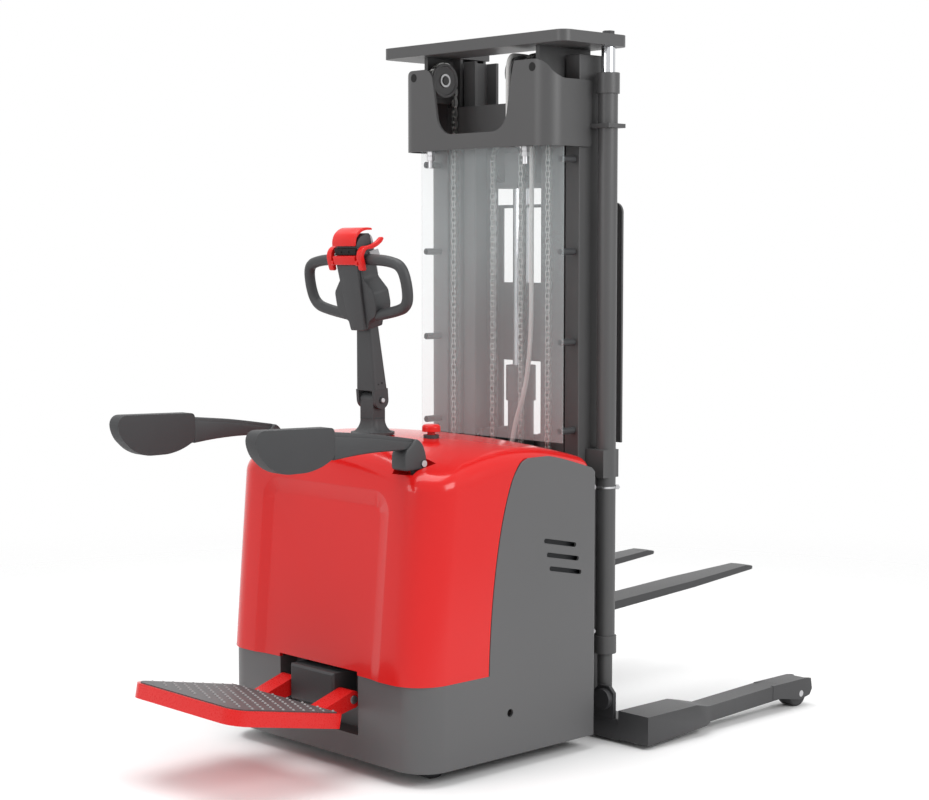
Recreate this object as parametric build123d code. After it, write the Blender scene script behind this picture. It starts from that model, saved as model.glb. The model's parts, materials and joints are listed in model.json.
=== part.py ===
from build123d import *
import os
from math import atan2, cos, degrees, radians, sin

# Electric stacker with a three stage mast, straddle legs, a fold-up platform and side arms.
# Working frame in millimetres: x forward from the rear face of the chassis, y left of the
# centre line, z up from the floor. Every piece is shifted along x at the end, so that the
# origin lies on the floor under the middle of the whole truck.

os.makedirs("parts", exist_ok=True)

# Fits
running_gap = 0.05
face_gap = 0.4
side_gap = 4

# Chassis
chassis_half = 428
chassis_front = 672
chassis_bottom = 40
skirt_top = 274
rear_corner_radius = 90
front_corner_radius = 12
frame_wall = 8
# side panel edge: distance behind the chassis front, height above the skirt
panel_edge = [
    (424, 0), (412, 185), (394, 317), (346, 504), (324, 548), (272, 583), (140, 572), (20, 538),
    (0, 520),
]
panel_front_height = panel_edge[-2][1]
deck_top = 262
deck_thick = 12
battery_floor = 98
battery_bay = 264
shelf_top = 158
shelf_inner = 232
shelf_length = 252
side_hole_radius = 11
side_hole_x = 328
side_hole_z = 160
vent_length = 132
vent_height = 13
vent_tilt = -11
vent_centres = [(524, 610), (535, 570), (546, 530)]

# Hood
hood_overhang = 15
hood_crown = 906
# roof sections from rear to front: place along x, crown height, fall to the sides
hood_sections = [(-60, 888, 105), (110, 900, 88), (310, 906, 38), (480, 894, 24), (700, 838, 16)]
hood_lean = 53
hood_corner_radius = 104
hood_edge_radius = 64
hood_nose_radius = 40
hood_wall = 6
hood_rear_inset = 24
hood_seam = 3
knee_half = 270
knee_top = 780
knee_radius = 60
knee_depth = 12

# Platform
recess_half = 170
recess_floor = 108
recess_depth = 60
platform_half = 236
platform_rear = 471
platform_front = 108
platform_front_z = 197
platform_tilt = 10.8
platform_rim = 40
platform_corner = 52
mat_inset = 9
mat_thick = 7
mat_sunk = 4
bracket_half = 95
bracket_rear = 26
bracket_low = 168
bracket_top = 270
bracket_chamfer = 6
hinge_pin_x = -4
hinge_pin_z = 205
hinge_pin_radius = 12
hinge_eye_radius = 24
gusset_half = 31

# Side arms
arm_half_spacing = 305
arm_pivot_x = 95
arm_pivot_z = 858
arm_pivot_radius = 8
arm_width = 46
boot_width = 58
boot_back = 66
boot_front = 12
boot_low = 18
boot_high = 66
boot_nose = 24
boot_slope = 30
boot_radius = 12
beam_under = 54
beam_over = 12
beam_over_pad = 38
lug_thick = 18
lug_radius = 15
lug_slot_radius = 36
pocket_front = 40
pocket_floor = 830
arm_joint_x = -206
pad_length = 253
pad_low = 862
pad_high = 982
pad_thick = 46
pad_crown = 14
pad_neck = 34
pad_tail = 62
pad_tail_run = 90
pad_neck_run = 60
pad_tip_radius = 22
pad_belly_radius = 46

# Drive unit and casters
steer_x = 203
bearing_outer = 130
bearing_bore = 105
bearing_height = 18
drive_wheel_radius = 115
drive_wheel_width = 75
drive_axle_radius = 20
gearbox_thick = 50
gearbox_half = 78
gearbox_drop = 50
gearbox_corner = 30
gearbox_flange = 24
gearbox_flange_thick = 14
motor_radius = 92
motor_top = 640
motor_grooves = 5
motor_groove = 22
motor_groove_step = 44
motor_groove_depth = 8
post_radius = 27
post_flare_radius = 62
post_top = 968
hood_hole_radius = 40
caster_x = 148
caster_y = 326
caster_radius = 58
caster_width = 46
caster_trail = 24
caster_axle_radius = 9
caster_plate_radius = 44
caster_cheek = 6
caster_cheek_gap = 2

# Tiller, in its own frame from the tilt pivot
tiller_z = 1005
tiller_lean = 5
head_lean = 7
tiller_pin_radius = 9
cheek_radius = 25
clevis_half = 28
arm_low_width = 80
arm_low_depth = 52
arm_high_width = 60
arm_high_depth = 36
arm_length = 214
head_height = 250
loop_reach = 218
loop_tube_radius = 15.5
loop_rear = 12
loop_high = 188
loop_low = 30
loop_rise = 34
loop_inner_low = 66
loop_bend_high = 55
loop_bend_low = 52
head_half = 48
head_depth = 60
head_shoulder = 128
head_wing_width = 156
head_wing_depth = 70
head_wing_low = 30
head_wing_top = 92
head_corner = 14
head_top_gap = 40
cap_travel = 6
cap_stem_x = 4
cap_stem_radius = 9
cap_stem_depth = 24
lever_x = -42
lever_z = 184
lever_radius = 8
rocker_x = 20
rocker_z = 194
rocker_radius = 5
rocker_depth = 20

# Units beside the motor
unit_forward = 46
unit_y = 290
unit_half = 68
pump_tank = 120
pump_motor = 250
pump_top = 300
pump_radius = 54
control_box = 70
control_top = 96
fin_count = 6

# Emergency stop
stop_x = 290
stop_y = -150
stop_stem_radius = 11
stop_neck_radius = 16
stop_body_radius = 22
stop_depth = 56
stop_bezel = 4
stop_head_radius = 26
stop_travel = 8

# Mast rails
outer_half = 305
outer_rail_width = 55
outer_rear = 726
outer_front = 850
outer_top = 1985
rail_web = 8
rail_flange = 10
rail_gap = 7
middle_rail_width = 47
inner_rail_width = 49
middle_rear = 730
inner_rear = 738
inner_front = 838
middle_low = 82
bracket_heights = [90, 600]
bracket_height = 110
inner_low = 92

# Base and legs
base_rear = 755
base_top = 68
base_low = 8
leg_outer = 556
leg_block_width = 114
leg_block_low = 12
leg_block_top = 97
leg_kink_x = 1060
leg_tube_width = 74
leg_tube_low = 30
leg_tube_top = 77
leg_front_low = 42
leg_front_top = 88
leg_tip_x = 1560
load_wheel_x = 1505
load_wheel_radius = 42
load_wheel_width = 52
load_axle_radius = 10
fork_plate_thick = 9
leg_pin_radius = 30

# Crossheads and guard
crosshead_rear = 587
crosshead_thick = 8
crosshead_bend = 60
crosshead_low = 1722
crosshead_ear = 1965
crosshead_side = 1912
crosshead_lap = 44
ucut_half = 142
ucut_floor = 1768
ucut_radius = 45
ear_flare = 30
ear_radius = 24
shoulder_high = 13
shoulder_low = 41
shoulder_radius = 20
lift_eye_radius = 12.5
lift_eye_inset = 55
lift_eye_z = 1943
top_plate_rear = 576
top_plate_margin = 34
top_plate_front = 850
top_plate_thick = 33
top_plate_low = 2006
top_plate_corner = 30
pulley_plate_rear = 624
pulley_plate_low = 1872
pulley_plate_thick = 15
tie_low = 1775
tie_high = 1860
tie_thick = 11
low_tie_height = 60
guard_x = 665
guard_inset = 4
guard_thick = 4
guard_low = 870
guard_top = 1738
standoff_inset = 20
standoff_radius = 10
standoff_heights = [903, 1160, 1421, 1686]

# Lift cylinders
cylinder_x = 797
cylinder_offset = 45
barrel_radius = 28.5
barrel_bore = 22
barrel_low = 248
gland_low = 1873
gland_high = 1932
gland_radius = 33.5
lift_rod_radius = 20
lift_rod_low = 310
clamp_low = 767
clamp_high = 848
upper_clamp = 1775
upper_clamp_thick = 12
foot_radius = 22

# Mast chains and pulleys
mast_pulley_x = 660
mast_pulley_z = 1936
mast_pulley_pitch = 49
chain_thick = 12
chain_width = 18
pulley_width = 26
pulley_side_gap = 15
pulley_axle_radius = 12
chain_shelf_z = 1734
anchor_radius = 8
anchor_low = 1672
chain_hook_z = 186

# Free lift cylinder, yoke and chains
free_barrel_radius = 39.5
free_bore = 28
free_barrel_low = 150
free_gland_low = 971
free_gland_high = 1078
free_gland_radius = 45.5
free_rod_radius = 25
free_rod_low = 620
free_rod_high = 1611
yoke_half = 92
yoke_base = 18
yoke_pulley_z = 1692
yoke_pulley_pitch = 59
free_chain_y = 60
yoke_axle_radius = 14
yoke_depth = 34
free_hook_z = 262

# Hose
hose_radius = 7
hose_offset = 70
hose_pulley_pitch = 49
hose_port_z = 300
hose_slant_top = 1060
hose_slant_low = 860
hose_foot_top = 420

# Carriage, forks and backrest
carriage_gap = 6
carriage_plate_thick = 16
carriage_plate_low = 492
carriage_plate_top = 880
fork_bar_rear = 865
fork_bar_front = 885
fork_bar_half = 300
upper_bar_low = 780
upper_bar_top = 860
lower_bar_low = 440
lower_bar_top = 520
roller_radius = 39.2
roller_width = 34
roller_axle_radius = 13
roller_heights = [545, 820]
fork_y = 212
fork_width = 100
fork_tip_width = 62
fork_taper = 330
fork_shank = 40
fork_heel_low = 341
fork_heel_top = 369
fork_tip_low = 386
fork_tip_top = 402
fork_tip_x = 1645
fork_point_z = 391
backrest_half = 335
backrest_thick = 8
backrest_top = 1565
backrest_inner = 160
backrest_plate_low = 1085
backrest_plate_top = 1326
backrest_bar = 10
backrest_corner = 30
backrest_hole_radius = 18

# Places that follow from the sizes above
origin_x = (fork_tip_x - platform_rear) / 2
cylinder_y = outer_half + cylinder_offset
top_plate_half = cylinder_y + top_plate_margin
guard_half = outer_half - guard_inset
standoff_y = outer_half - standoff_inset
lift_eye_y = outer_half - lift_eye_inset
crosshead_reach = outer_rear + crosshead_lap
middle_half = outer_half - outer_rail_width - rail_gap
middle_tip = middle_half - middle_rail_width
inner_half_mast = middle_tip - rail_gap
inner_tip = inner_half_mast - inner_rail_width
inner_top = top_plate_low - 10
chain_y = middle_half - pulley_plate_thick - pulley_width / 2 - pulley_side_gap
hose_y = hose_offset - chain_y
carriage_plate_outer = inner_tip - carriage_gap


def block(x0, x1, y0, y1, z0, z1):
    return Pos((x0 + x1) / 2, (y0 + y1) / 2, (z0 + z1) / 2) * Box(x1 - x0, y1 - y0, z1 - z0)


def post(x, y, z0, z1, radius):
    return Pos(x, y, (z0 + z1) / 2) * Cylinder(radius, z1 - z0)


def shaft(x, z, y0, y1, radius):
    return Pos(x, (y0 + y1) / 2, z) * Rot(90, 0, 0) * Cylinder(radius, y1 - y0)


def pin_x(y, z, x0, x1, radius):
    return Pos((x0 + x1) / 2, y, z) * Rot(0, 90, 0) * Cylinder(radius, x1 - x0)


def outline(points):
    return make_face(Polyline(*points, close=True))


def across(face, y0, y1):
    return Pos(0, y0, 0) * extrude(Plane.XZ * face, y1 - y0, dir=(0, 1, 0))


def along(face, x0, x1):
    return Pos(x0, 0, 0) * extrude(Plane.YZ * face, x1 - x0, dir=(1, 0, 0))


def upward(face, z0, z1):
    return Pos(0, 0, z0) * extrude(face, z1 - z0)


def other_side(piece):
    return mirror(piece, about=Plane.XZ)


def save(name, *pieces):
    moved = [Pos(-origin_x, 0, 0) * piece for piece in pieces]
    export_step(moved[0] if len(moved) == 1 else Compound(children=moved), f"parts/{name}.step")


# Chassis frame: skirt, side panels, front wall, decks and the recess for the platform

def plan(rear, front, half, rear_radius, front_radius):
    face = outline([(rear, -half), (front, -half), (front, half), (rear, half)])
    face = fillet(face.vertices().sort_by(Axis.X)[:2], rear_radius)
    return fillet(face.vertices().sort_by(Axis.X)[-2:], front_radius)


def panel_points(spread):
    points = [(chassis_front - back, skirt_top + height) for back, height in panel_edge]
    moved = []
    for index, point in enumerate(points):
        before = Vector(*points[max(index - 1, 0)])
        after = Vector(*points[min(index + 1, len(points) - 1)])
        run = (after - before).normalized()
        moved.append((point[0] - spread * run.Y, point[1] + spread * run.X))
    return moved


def panel_face(spread):
    points = panel_points(spread)
    crest = points.index(max(points, key=lambda point: point[1]))
    rise = Spline(*points[:crest + 1])
    fall = Spline(*points[crest:-1], tangents=(rise % 1, Vector(*points[-2]) - Vector(*points[-3])))
    front = chassis_front + spread
    foot = Polyline(
        points[-2], (front, points[-1][1]), (front, chassis_bottom), (points[0][0], chassis_bottom),
        points[0],
    )
    return make_face([rise, fall, foot])


def chassis_frame():
    inner_half = chassis_half - frame_wall
    top = skirt_top + max(height for back, height in panel_edge)
    skin = upward(
        plan(0, chassis_front, chassis_half, rear_corner_radius, front_corner_radius), chassis_bottom,
        top,
    )
    skirt = block(-1, chassis_front, -chassis_half - 1, chassis_half + 1, chassis_bottom, skirt_top)
    body = skin & (skirt + across(panel_face(0), -chassis_half - 1, chassis_half + 1))
    hollow_radius = rear_corner_radius - frame_wall
    hollow = plan(
        frame_wall, chassis_front - frame_wall, inner_half, hollow_radius,
        front_corner_radius - frame_wall,
    )
    body -= upward(hollow, chassis_bottom - 1, top + 1)
    bay_rear = chassis_front - frame_wall - battery_bay
    deck_end = bay_rear + frame_wall
    inside = block(0, deck_end, -inner_half, inner_half, deck_top - deck_thick, deck_top)
    inside += block(bay_rear, deck_end, -inner_half, inner_half, battery_floor - frame_wall, deck_top)
    inside += block(
        bay_rear, chassis_front, -inner_half, inner_half, battery_floor - frame_wall, battery_floor,
    )
    for side in (-1, 1):
        near, far = sorted((side * shelf_inner, side * inner_half))
        inside += block(0, shelf_length, near, far, shelf_top - frame_wall, shelf_top)
    liner = recess_half + frame_wall
    inside += block(0, recess_depth + frame_wall, -liner, liner, recess_floor - frame_wall, skirt_top)
    body += inside & skin
    body -= block(-1, recess_depth, -recess_half, recess_half, recess_floor, skirt_top + 1)
    body -= post(steer_x, 0, deck_top - deck_thick - 1, deck_top + 1, bearing_bore)
    for side in (-1, 1):
        body -= post(
            caster_x, side * caster_y, shelf_top - frame_wall - 1, shelf_top + 1,
            caster_axle_radius + running_gap,
        )
    body -= shaft(side_hole_x, side_hole_z, -chassis_half - 1, -inner_half + 1, side_hole_radius)
    body -= shaft(side_hole_x, side_hole_z, inner_half - 1, chassis_half + 1, side_hole_radius)
    for x, z in vent_centres:
        slot = Pos(x, z) * Rot(0, 0, vent_tilt) * SlotOverall(vent_length, vent_height)
        body -= across(slot, -chassis_half - 1, chassis_half + 1)
    return body


# Hood: leaning shell over the rear, with a knee recess, arm pockets and holes for the post and stop

def hood_lean_x(z):
    return -hood_overhang + hood_lean * (z - skirt_top) / (hood_crown - skirt_top)


def hood_roof(wall):
    half = chassis_half + 20
    low = skirt_top - 10
    faces = []
    for x, crown, drop in hood_sections:
        high = crown - wall
        arc = ThreePointArc((-half, high - drop), (0, high), (half, high - drop))
        foot = Polyline((half, high - drop), (half, low), (-half, low), (-half, high - drop))
        faces.append(Pos(x, 0, 0) * (Plane.YZ * make_face([arc, foot])))
    return loft(faces)


def hood_block(rear_inset, wall):
    half = chassis_half - wall
    front = chassis_front + hood_wall - wall
    top = hood_crown + 30
    middle = (skirt_top + top) / 2
    profile = outline([
        (hood_lean_x(skirt_top) + rear_inset, skirt_top), (front, skirt_top),
        (front, top), (hood_lean_x(top) + rear_inset, top),
    ])
    body = across(profile, -half, half)
    uprights = [
        edge for edge in body.edges() if abs(edge.center().Z - middle) < 1 and edge.center().X < front - 1
    ]
    body = fillet(
        [edge for edge in uprights if abs(edge.center().Y) > half - 1], hood_corner_radius - wall,
    )
    body = body & hood_roof(wall)
    upper = [edge for edge in body.edges() if edge.bounding_box().min.Z > middle]
    nose = [edge for edge in upper if edge.bounding_box().min.X > front - 1]
    body = fillet(nose, hood_nose_radius - wall)
    upper = [edge for edge in body.edges() if edge.bounding_box().min.Z > middle]
    rim = [edge for edge in upper if abs(edge.center().Y) > half - 60 or edge.center().X < steer_x]
    return fillet(rim, hood_edge_radius - wall)


hood_outer = hood_block(0, 0)
hood_inner = hood_block(hood_rear_inset, hood_wall)


def hood():
    shell = hood_outer - hood_inner
    half = arm_half_spacing
    for side in (-1, 1):
        wide = boot_width / 2 + side_gap
        liner = block(
            arm_pivot_x - boot_back - side_gap - hood_wall, arm_pivot_x + pocket_front + hood_wall,
            side * half - wide - hood_wall, side * half + wide + hood_wall,
            pocket_floor - hood_wall, hood_crown,
        )
        shell += liner & hood_outer
        shell -= block(
            arm_pivot_x - boot_back - side_gap, arm_pivot_x + pocket_front,
            side * half - wide, side * half + wide, pocket_floor, hood_crown + 10,
        )
    inner_half = chassis_half - frame_wall - hood_seam
    panel = panel_face(hood_seam)
    shell -= across(panel, inner_half, chassis_half + 1)
    shell -= across(panel, -chassis_half - 1, -inner_half)
    front_top = skirt_top + panel_front_height + hood_seam
    shell -= block(
        chassis_front - hood_edge_radius - hood_seam, chassis_front + hood_wall + 1,
        -chassis_half - 1, chassis_half + 1, 0, front_top,
    )
    shell -= post(steer_x, 0, hood_crown - 80, hood_crown + 10, hood_hole_radius)
    shell -= post(stop_x, stop_y, hood_crown - 80, hood_crown + 10, stop_neck_radius)
    shell -= block(-hood_overhang - 1, recess_depth, -recess_half, recess_half, 0, bracket_top + 14)
    knee = RectangleRounded(2 * knee_half, 2 * (knee_top - skirt_top), knee_radius)
    lean = Rot(0, degrees(atan2(hood_lean, hood_crown - skirt_top)), 0)
    shell -= Pos(-hood_overhang, 0, skirt_top) * lean * along(knee, -60, knee_depth)
    return shell


# Platform: hinge bracket, pin, tray with two gusset arms, rubber mat

def platform_place():
    return Pos(-platform_front, 0, platform_front_z) * Rot(0, platform_tilt, 0)


def platform_bracket():
    body = block(-bracket_rear, recess_depth, -bracket_half, bracket_half, bracket_low, bracket_top)
    edges = body.edges().filter_by(Axis.Y).sort_by(Axis.X)[:2]
    edges += body.edges().filter_by(Axis.Z).sort_by(Axis.X)[:2]
    body = chamfer(edges, bracket_chamfer)
    return body - shaft(hinge_pin_x, hinge_pin_z, -bracket_half - 1, bracket_half + 1, hinge_pin_radius)


def platform_pin():
    reach = bracket_half + face_gap + 2 * gusset_half + 2
    return shaft(hinge_pin_x, hinge_pin_z, -reach, reach, hinge_pin_radius)


def tray_face(inset):
    half = platform_half - inset
    tilt = radians(platform_tilt)
    length = (platform_rear - platform_front - platform_rim * sin(tilt)) / cos(tilt)
    face = outline([(-length + inset, -half), (-inset, -half), (-inset, half), (-length + inset, half)])
    face = fillet(face.vertices().sort_by(Axis.X)[:2], platform_corner - inset)
    return fillet(face.vertices().sort_by(Axis.X)[-2:], 8)


def platform_tray():
    tray = upward(tray_face(0), -platform_rim, 0)
    tray -= upward(tray_face(mat_inset), -mat_sunk, 1)
    tray -= upward(tray_face(mat_inset), -platform_rim - 1, -mat_sunk - 8)
    tray = platform_place() * tray
    for side in (-1, 1):
        middle = side * (bracket_half + face_gap + gusset_half)
        profile = outline([
            (-platform_front - 8, platform_front_z - 4),
            (hinge_pin_x - 8, hinge_pin_z + hinge_eye_radius - 2),
            (hinge_pin_x, hinge_pin_z - hinge_eye_radius),
            (-platform_front - 8, platform_front_z - platform_rim),
        ])
        arm = across(profile, middle - gusset_half, middle + gusset_half)
        arm += shaft(
            hinge_pin_x, hinge_pin_z, middle - gusset_half, middle + gusset_half, hinge_eye_radius,
        )
        tray += arm
    reach = bracket_half + face_gap + 2 * gusset_half + 1
    return tray - shaft(hinge_pin_x, hinge_pin_z, -reach, reach, hinge_pin_radius + running_gap)


def platform_mat():
    return platform_place() * upward(tray_face(mat_inset + face_gap), -mat_sunk, mat_thick - mat_sunk)


# Side arms: lug on the hood pocket, pivot bolt, arm with its boot, crowned pad

def arm_lug(side):
    y = side * arm_half_spacing
    lug = block(
        arm_pivot_x - lug_radius, arm_pivot_x + lug_radius, y - lug_thick / 2, y + lug_thick / 2,
        pocket_floor, arm_pivot_z,
    )
    lug += shaft(arm_pivot_x, arm_pivot_z, y - lug_thick / 2, y + lug_thick / 2, lug_radius)
    return lug - shaft(arm_pivot_x, arm_pivot_z, y - lug_thick, y + lug_thick, arm_pivot_radius)


def arm_bolt(side):
    y = side * arm_half_spacing
    reach = boot_width / 2
    bolt = shaft(arm_pivot_x, arm_pivot_z, y - reach, y + reach, arm_pivot_radius)
    outer = sorted((y + side * reach, y + side * (reach + 3)))
    return bolt + shaft(arm_pivot_x, arm_pivot_z, outer[0], outer[1], arm_pivot_radius + 1)


def side_arm(side):
    y = side * arm_half_spacing
    low = arm_pivot_z - boot_low
    high = arm_pivot_z + boot_high
    rear = arm_pivot_x - boot_back
    front = arm_pivot_x + boot_front
    boot = outline([
        (rear, low), (front, low), (front, high - boot_nose), (front - boot_slope, high), (rear, high + 8),
    ])
    boot = fillet(boot.vertices().sort_by(Axis.X)[:1], boot_radius)
    body = across(boot, y - boot_width / 2, y + boot_width / 2)
    beam = outline([
        (rear + 20, high - 4), (rear, low + beam_under), (arm_joint_x, low + beam_under + 2),
        (arm_joint_x, high + beam_over_pad), (rear, high + beam_over),
    ])
    body += across(beam, y - arm_width / 2, y + arm_width / 2)
    slot = lug_thick / 2 + 1
    body -= shaft(arm_pivot_x, arm_pivot_z, y - slot, y + slot, lug_slot_radius)
    return body - shaft(
        arm_pivot_x, arm_pivot_z, y - boot_width, y + boot_width, arm_pivot_radius + running_gap,
    )


def arm_pad(side):
    y = side * arm_half_spacing
    rear = arm_joint_x - pad_length
    face = outline([
        (arm_joint_x, pad_low + pad_neck), (arm_joint_x, pad_high - 8), (rear, pad_high),
        (rear, pad_low + pad_tail), (rear + pad_tail_run, pad_low), (arm_joint_x - pad_neck_run, pad_low),
    ])
    corners = face.vertices().sort_by(Axis.X)
    face = fillet(corners[:2], pad_tip_radius)
    face = fillet(face.vertices().sort_by(Axis.Y)[:2], pad_belly_radius)
    pad = across(face, y - pad_thick / 2, y + pad_thick / 2)
    crown = [edge for edge in pad.edges() if abs(abs(edge.center().Y - y) - pad_thick / 2) < 0.01]
    crown = [edge for edge in crown if edge.center().X < arm_joint_x - 1]
    return fillet(crown, pad_crown)


# Drive unit, steering post and casters

def steering_bearing():
    ring = post(steer_x, 0, deck_top, deck_top + bearing_height, bearing_outer)
    return ring - post(steer_x, 0, deck_top - 1, deck_top + bearing_height + 1, bearing_bore)


def gearbox():
    inner = drive_wheel_width / 2 + 8
    outer = inner + gearbox_thick
    flange_low = deck_top - deck_thick - 18
    seat = deck_top + bearing_height + face_gap
    low = drive_wheel_radius - gearbox_drop
    case = across(outline([
        (steer_x - gearbox_half, low), (steer_x + gearbox_half, low),
        (steer_x + gearbox_half, flange_low), (steer_x - gearbox_half, flange_low),
    ]), inner, outer)
    case = fillet(case.edges().filter_by(Axis.Y), gearbox_corner)
    neck = post(steer_x, 0, flange_low - 2, seat, bearing_bore - running_gap)
    flange = post(steer_x, 0, seat, seat + gearbox_flange_thick, bearing_bore + gearbox_flange)
    axle = shaft(steer_x, drive_wheel_radius, -drive_wheel_width / 2, inner, drive_axle_radius)
    return case + neck + flange + axle


def drive_wheel():
    half = drive_wheel_width / 2
    wheel = shaft(steer_x, drive_wheel_radius, -half, half, drive_wheel_radius)
    wheel = fillet(wheel.edges(), 6)
    wheel -= shaft(steer_x, drive_wheel_radius, -half - 1, -half + 14, drive_wheel_radius * 0.62)
    return wheel - shaft(
        steer_x, drive_wheel_radius, -half - 1, half + 1, drive_axle_radius + running_gap,
    )


def drive_motor():
    low = deck_top + bearing_height + face_gap + gearbox_flange_thick
    motor = post(steer_x, 0, low, motor_top, motor_radius)
    for step in range(motor_grooves):
        z = low + motor_groove_step * (step + 1)
        core = post(steer_x, 0, z - 1, z + motor_groove + 1, motor_radius - motor_groove_depth)
        motor -= post(steer_x, 0, z, z + motor_groove, motor_radius + 1) - core
    return motor


def steering_post():
    column = post(steer_x, 0, motor_top, post_top - 40, post_radius)
    skirt = post(steer_x, 0, hood_crown + 2, hood_crown + 8, post_flare_radius)
    flare = loft([
        Pos(steer_x, 0, hood_crown + 6) * RectangleRounded(96, 104, 30),
        Pos(steer_x, 0, post_top - 36) * RectangleRounded(56, 74, 16),
        Pos(steer_x, 0, post_top - 16) * RectangleRounded(50, 66, 14),
    ])
    lug = block(steer_x - 22, steer_x + 22, -clevis_half, clevis_half, post_top - 20, tiller_z)
    lug += shaft(steer_x, tiller_z, -clevis_half, clevis_half, 22)
    reach = arm_low_width / 2 + 4
    return column + skirt + flare + lug + shaft(steer_x, tiller_z, -reach, reach, tiller_pin_radius)


def caster_fork(side):
    y = side * caster_y
    top = shelf_top - frame_wall - face_gap
    axle_x = caster_x - caster_trail
    half = caster_width / 2
    reach = half + caster_cheek_gap + caster_cheek
    fork = post(caster_x, y, top - 10, top, caster_plate_radius)
    for cheek in (-1, 1):
        near, far = sorted((y + cheek * (half + caster_cheek_gap), y + cheek * reach))
        plate = outline([
            (caster_x + 30, top - 4), (caster_x - 40, top - 4),
            (axle_x - 16, caster_radius - 14), (axle_x + 16, caster_radius - 14),
        ])
        fork += across(plate, near, far)
    fork += post(caster_x, y, top - 2, shelf_top + 8, caster_axle_radius)
    return fork + shaft(axle_x, caster_radius, y - reach, y + reach, caster_axle_radius)


def caster_wheel(side):
    y = side * caster_y
    half = caster_width / 2
    axle_x = caster_x - caster_trail
    wheel = fillet(shaft(axle_x, caster_radius, y - half, y + half, caster_radius).edges(), 8)
    return wheel - shaft(
        axle_x, caster_radius, y - half - 1, y + half + 1, caster_axle_radius + running_gap,
    )


# Tiller: arm on its pin, head, loop grips, red cap, levers and rocker

def tiller_place():
    return Pos(steer_x, 0, tiller_z) * Rot(0, -tiller_lean, 0)


def head_place():
    return tiller_place() * Pos(0, 0, arm_length) * Rot(0, -head_lean, 0)


def tiller_arm():
    arm = loft([
        Pos(0, 0, cheek_radius + 4) * RectangleRounded(arm_low_depth, arm_low_width, 10),
        Pos(0, 0, arm_length) * RectangleRounded(arm_high_depth, arm_high_width, 9),
    ])
    inner = clevis_half + 1
    outer = arm_low_width / 2
    for side in (-1, 1):
        near, far = sorted((side * inner, side * outer))
        arm += block(-cheek_radius, cheek_radius, near, far, 0, cheek_radius + 6)
        arm += shaft(0, 0, near, far, cheek_radius)
    return tiller_place() * (arm - shaft(0, 0, -outer - 1, outer + 1, tiller_pin_radius + running_gap))


def head_body():
    body = loft([
        Pos(2, 0, -10) * RectangleRounded(44, 66, 12),
        Pos(-6, 0, head_wing_low) * RectangleRounded(
            head_wing_depth - 4, head_wing_width - 6, head_corner,
        ),
        Pos(-6, 0, head_wing_top) * RectangleRounded(head_wing_depth, head_wing_width, head_corner),
    ])
    body += loft([
        Pos(-6, 0, head_wing_top) * RectangleRounded(head_wing_depth, head_wing_width, head_corner),
        Pos(2, 0, head_shoulder) * RectangleRounded(head_depth, 2 * head_half, head_corner),
    ])
    body += loft([
        Pos(2, 0, head_shoulder) * RectangleRounded(head_depth, 2 * head_half, head_corner),
        Pos(2, 0, head_height - head_top_gap) * RectangleRounded(head_depth, 2 * head_half, head_corner),
    ])
    return head_place() * body


def tiller_head():
    body = head_body()
    for y in (-24, 24):
        lug = block(lever_x - 13, 0, y - 9, y + 9, lever_z - 13, lever_z + 13)
        body += head_place() * fillet(lug.edges().filter_by(Axis.Y).sort_by(Axis.X)[:2], 10)
    body -= head_place() * shaft(lever_x, lever_z, -head_half, head_half, lever_radius + running_gap)
    top = head_height - head_top_gap
    bore_low = top - cap_stem_depth - 2
    body -= head_place() * post(cap_stem_x, 0, bore_low, top + 1, cap_stem_radius + running_gap)
    rocker_end = -head_half + rocker_depth
    body -= head_place() * shaft(
        rocker_x, rocker_z, -head_half - 1, rocker_end, rocker_radius + running_gap,
    )
    under = arm_high_width
    return body - tiller_place() * block(-under, under, -under, under, 0, arm_length)


def tiller_loop(side):
    inner = head_half - 12
    path = FilletPolyline(
        (-loop_rear, side * inner, loop_high),
        (-loop_rear, side * loop_reach, loop_high - 8),
        (-loop_rear, side * (loop_reach - 6), loop_low + loop_rise),
        (-loop_rear, side * loop_inner_low, loop_low),
        radius=[loop_bend_high, loop_bend_low],
    )
    start = Plane(origin=path @ 0, z_dir=path % 0)
    return head_place() * sweep(start * Circle(loop_tube_radius), path=path) - head_body()


def tiller_cap():
    low = head_height - head_top_gap + cap_travel
    base = Pos(2, 0, low) * RectangleRounded(head_depth, 2 * head_half, 14)
    crown = Pos(8, 0, low + 40) * RectangleRounded(head_depth - 22, 2 * head_half - 18, 14)
    stem = post(cap_stem_x, 0, low - cap_stem_depth, low + 4, cap_stem_radius)
    return head_place() * (loft([base, crown]) + stem)


def throttle_levers():
    reach = head_half + 26
    bar = shaft(lever_x, lever_z, -reach, reach, lever_radius)
    for side in (-1, 1):
        near, far = sorted((side * (head_half + 1), side * reach))
        paddle = outline([
            (lever_x - 16, lever_z - 30), (lever_x + 8, lever_z - 26), (lever_x + 8, lever_z + 20),
            (lever_x - 2, lever_z + 34), (lever_x - 22, lever_z + 38), (lever_x - 12, lever_z + 8),
        ])
        bar += across(paddle, near, far)
    return head_place() * bar


def lift_rocker():
    key = outline([
        (rocker_x - 14, rocker_z + 12), (rocker_x + 18, rocker_z + 14),
        (rocker_x + 22, rocker_z - 10), (rocker_x - 10, rocker_z - 12),
    ])
    body = across(key, -head_half - 7, -head_half - face_gap)
    body += shaft(rocker_x, rocker_z, -head_half - 1, -head_half + rocker_depth - 2, rocker_radius)
    return head_place() * body


# Emergency stop switch

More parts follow.
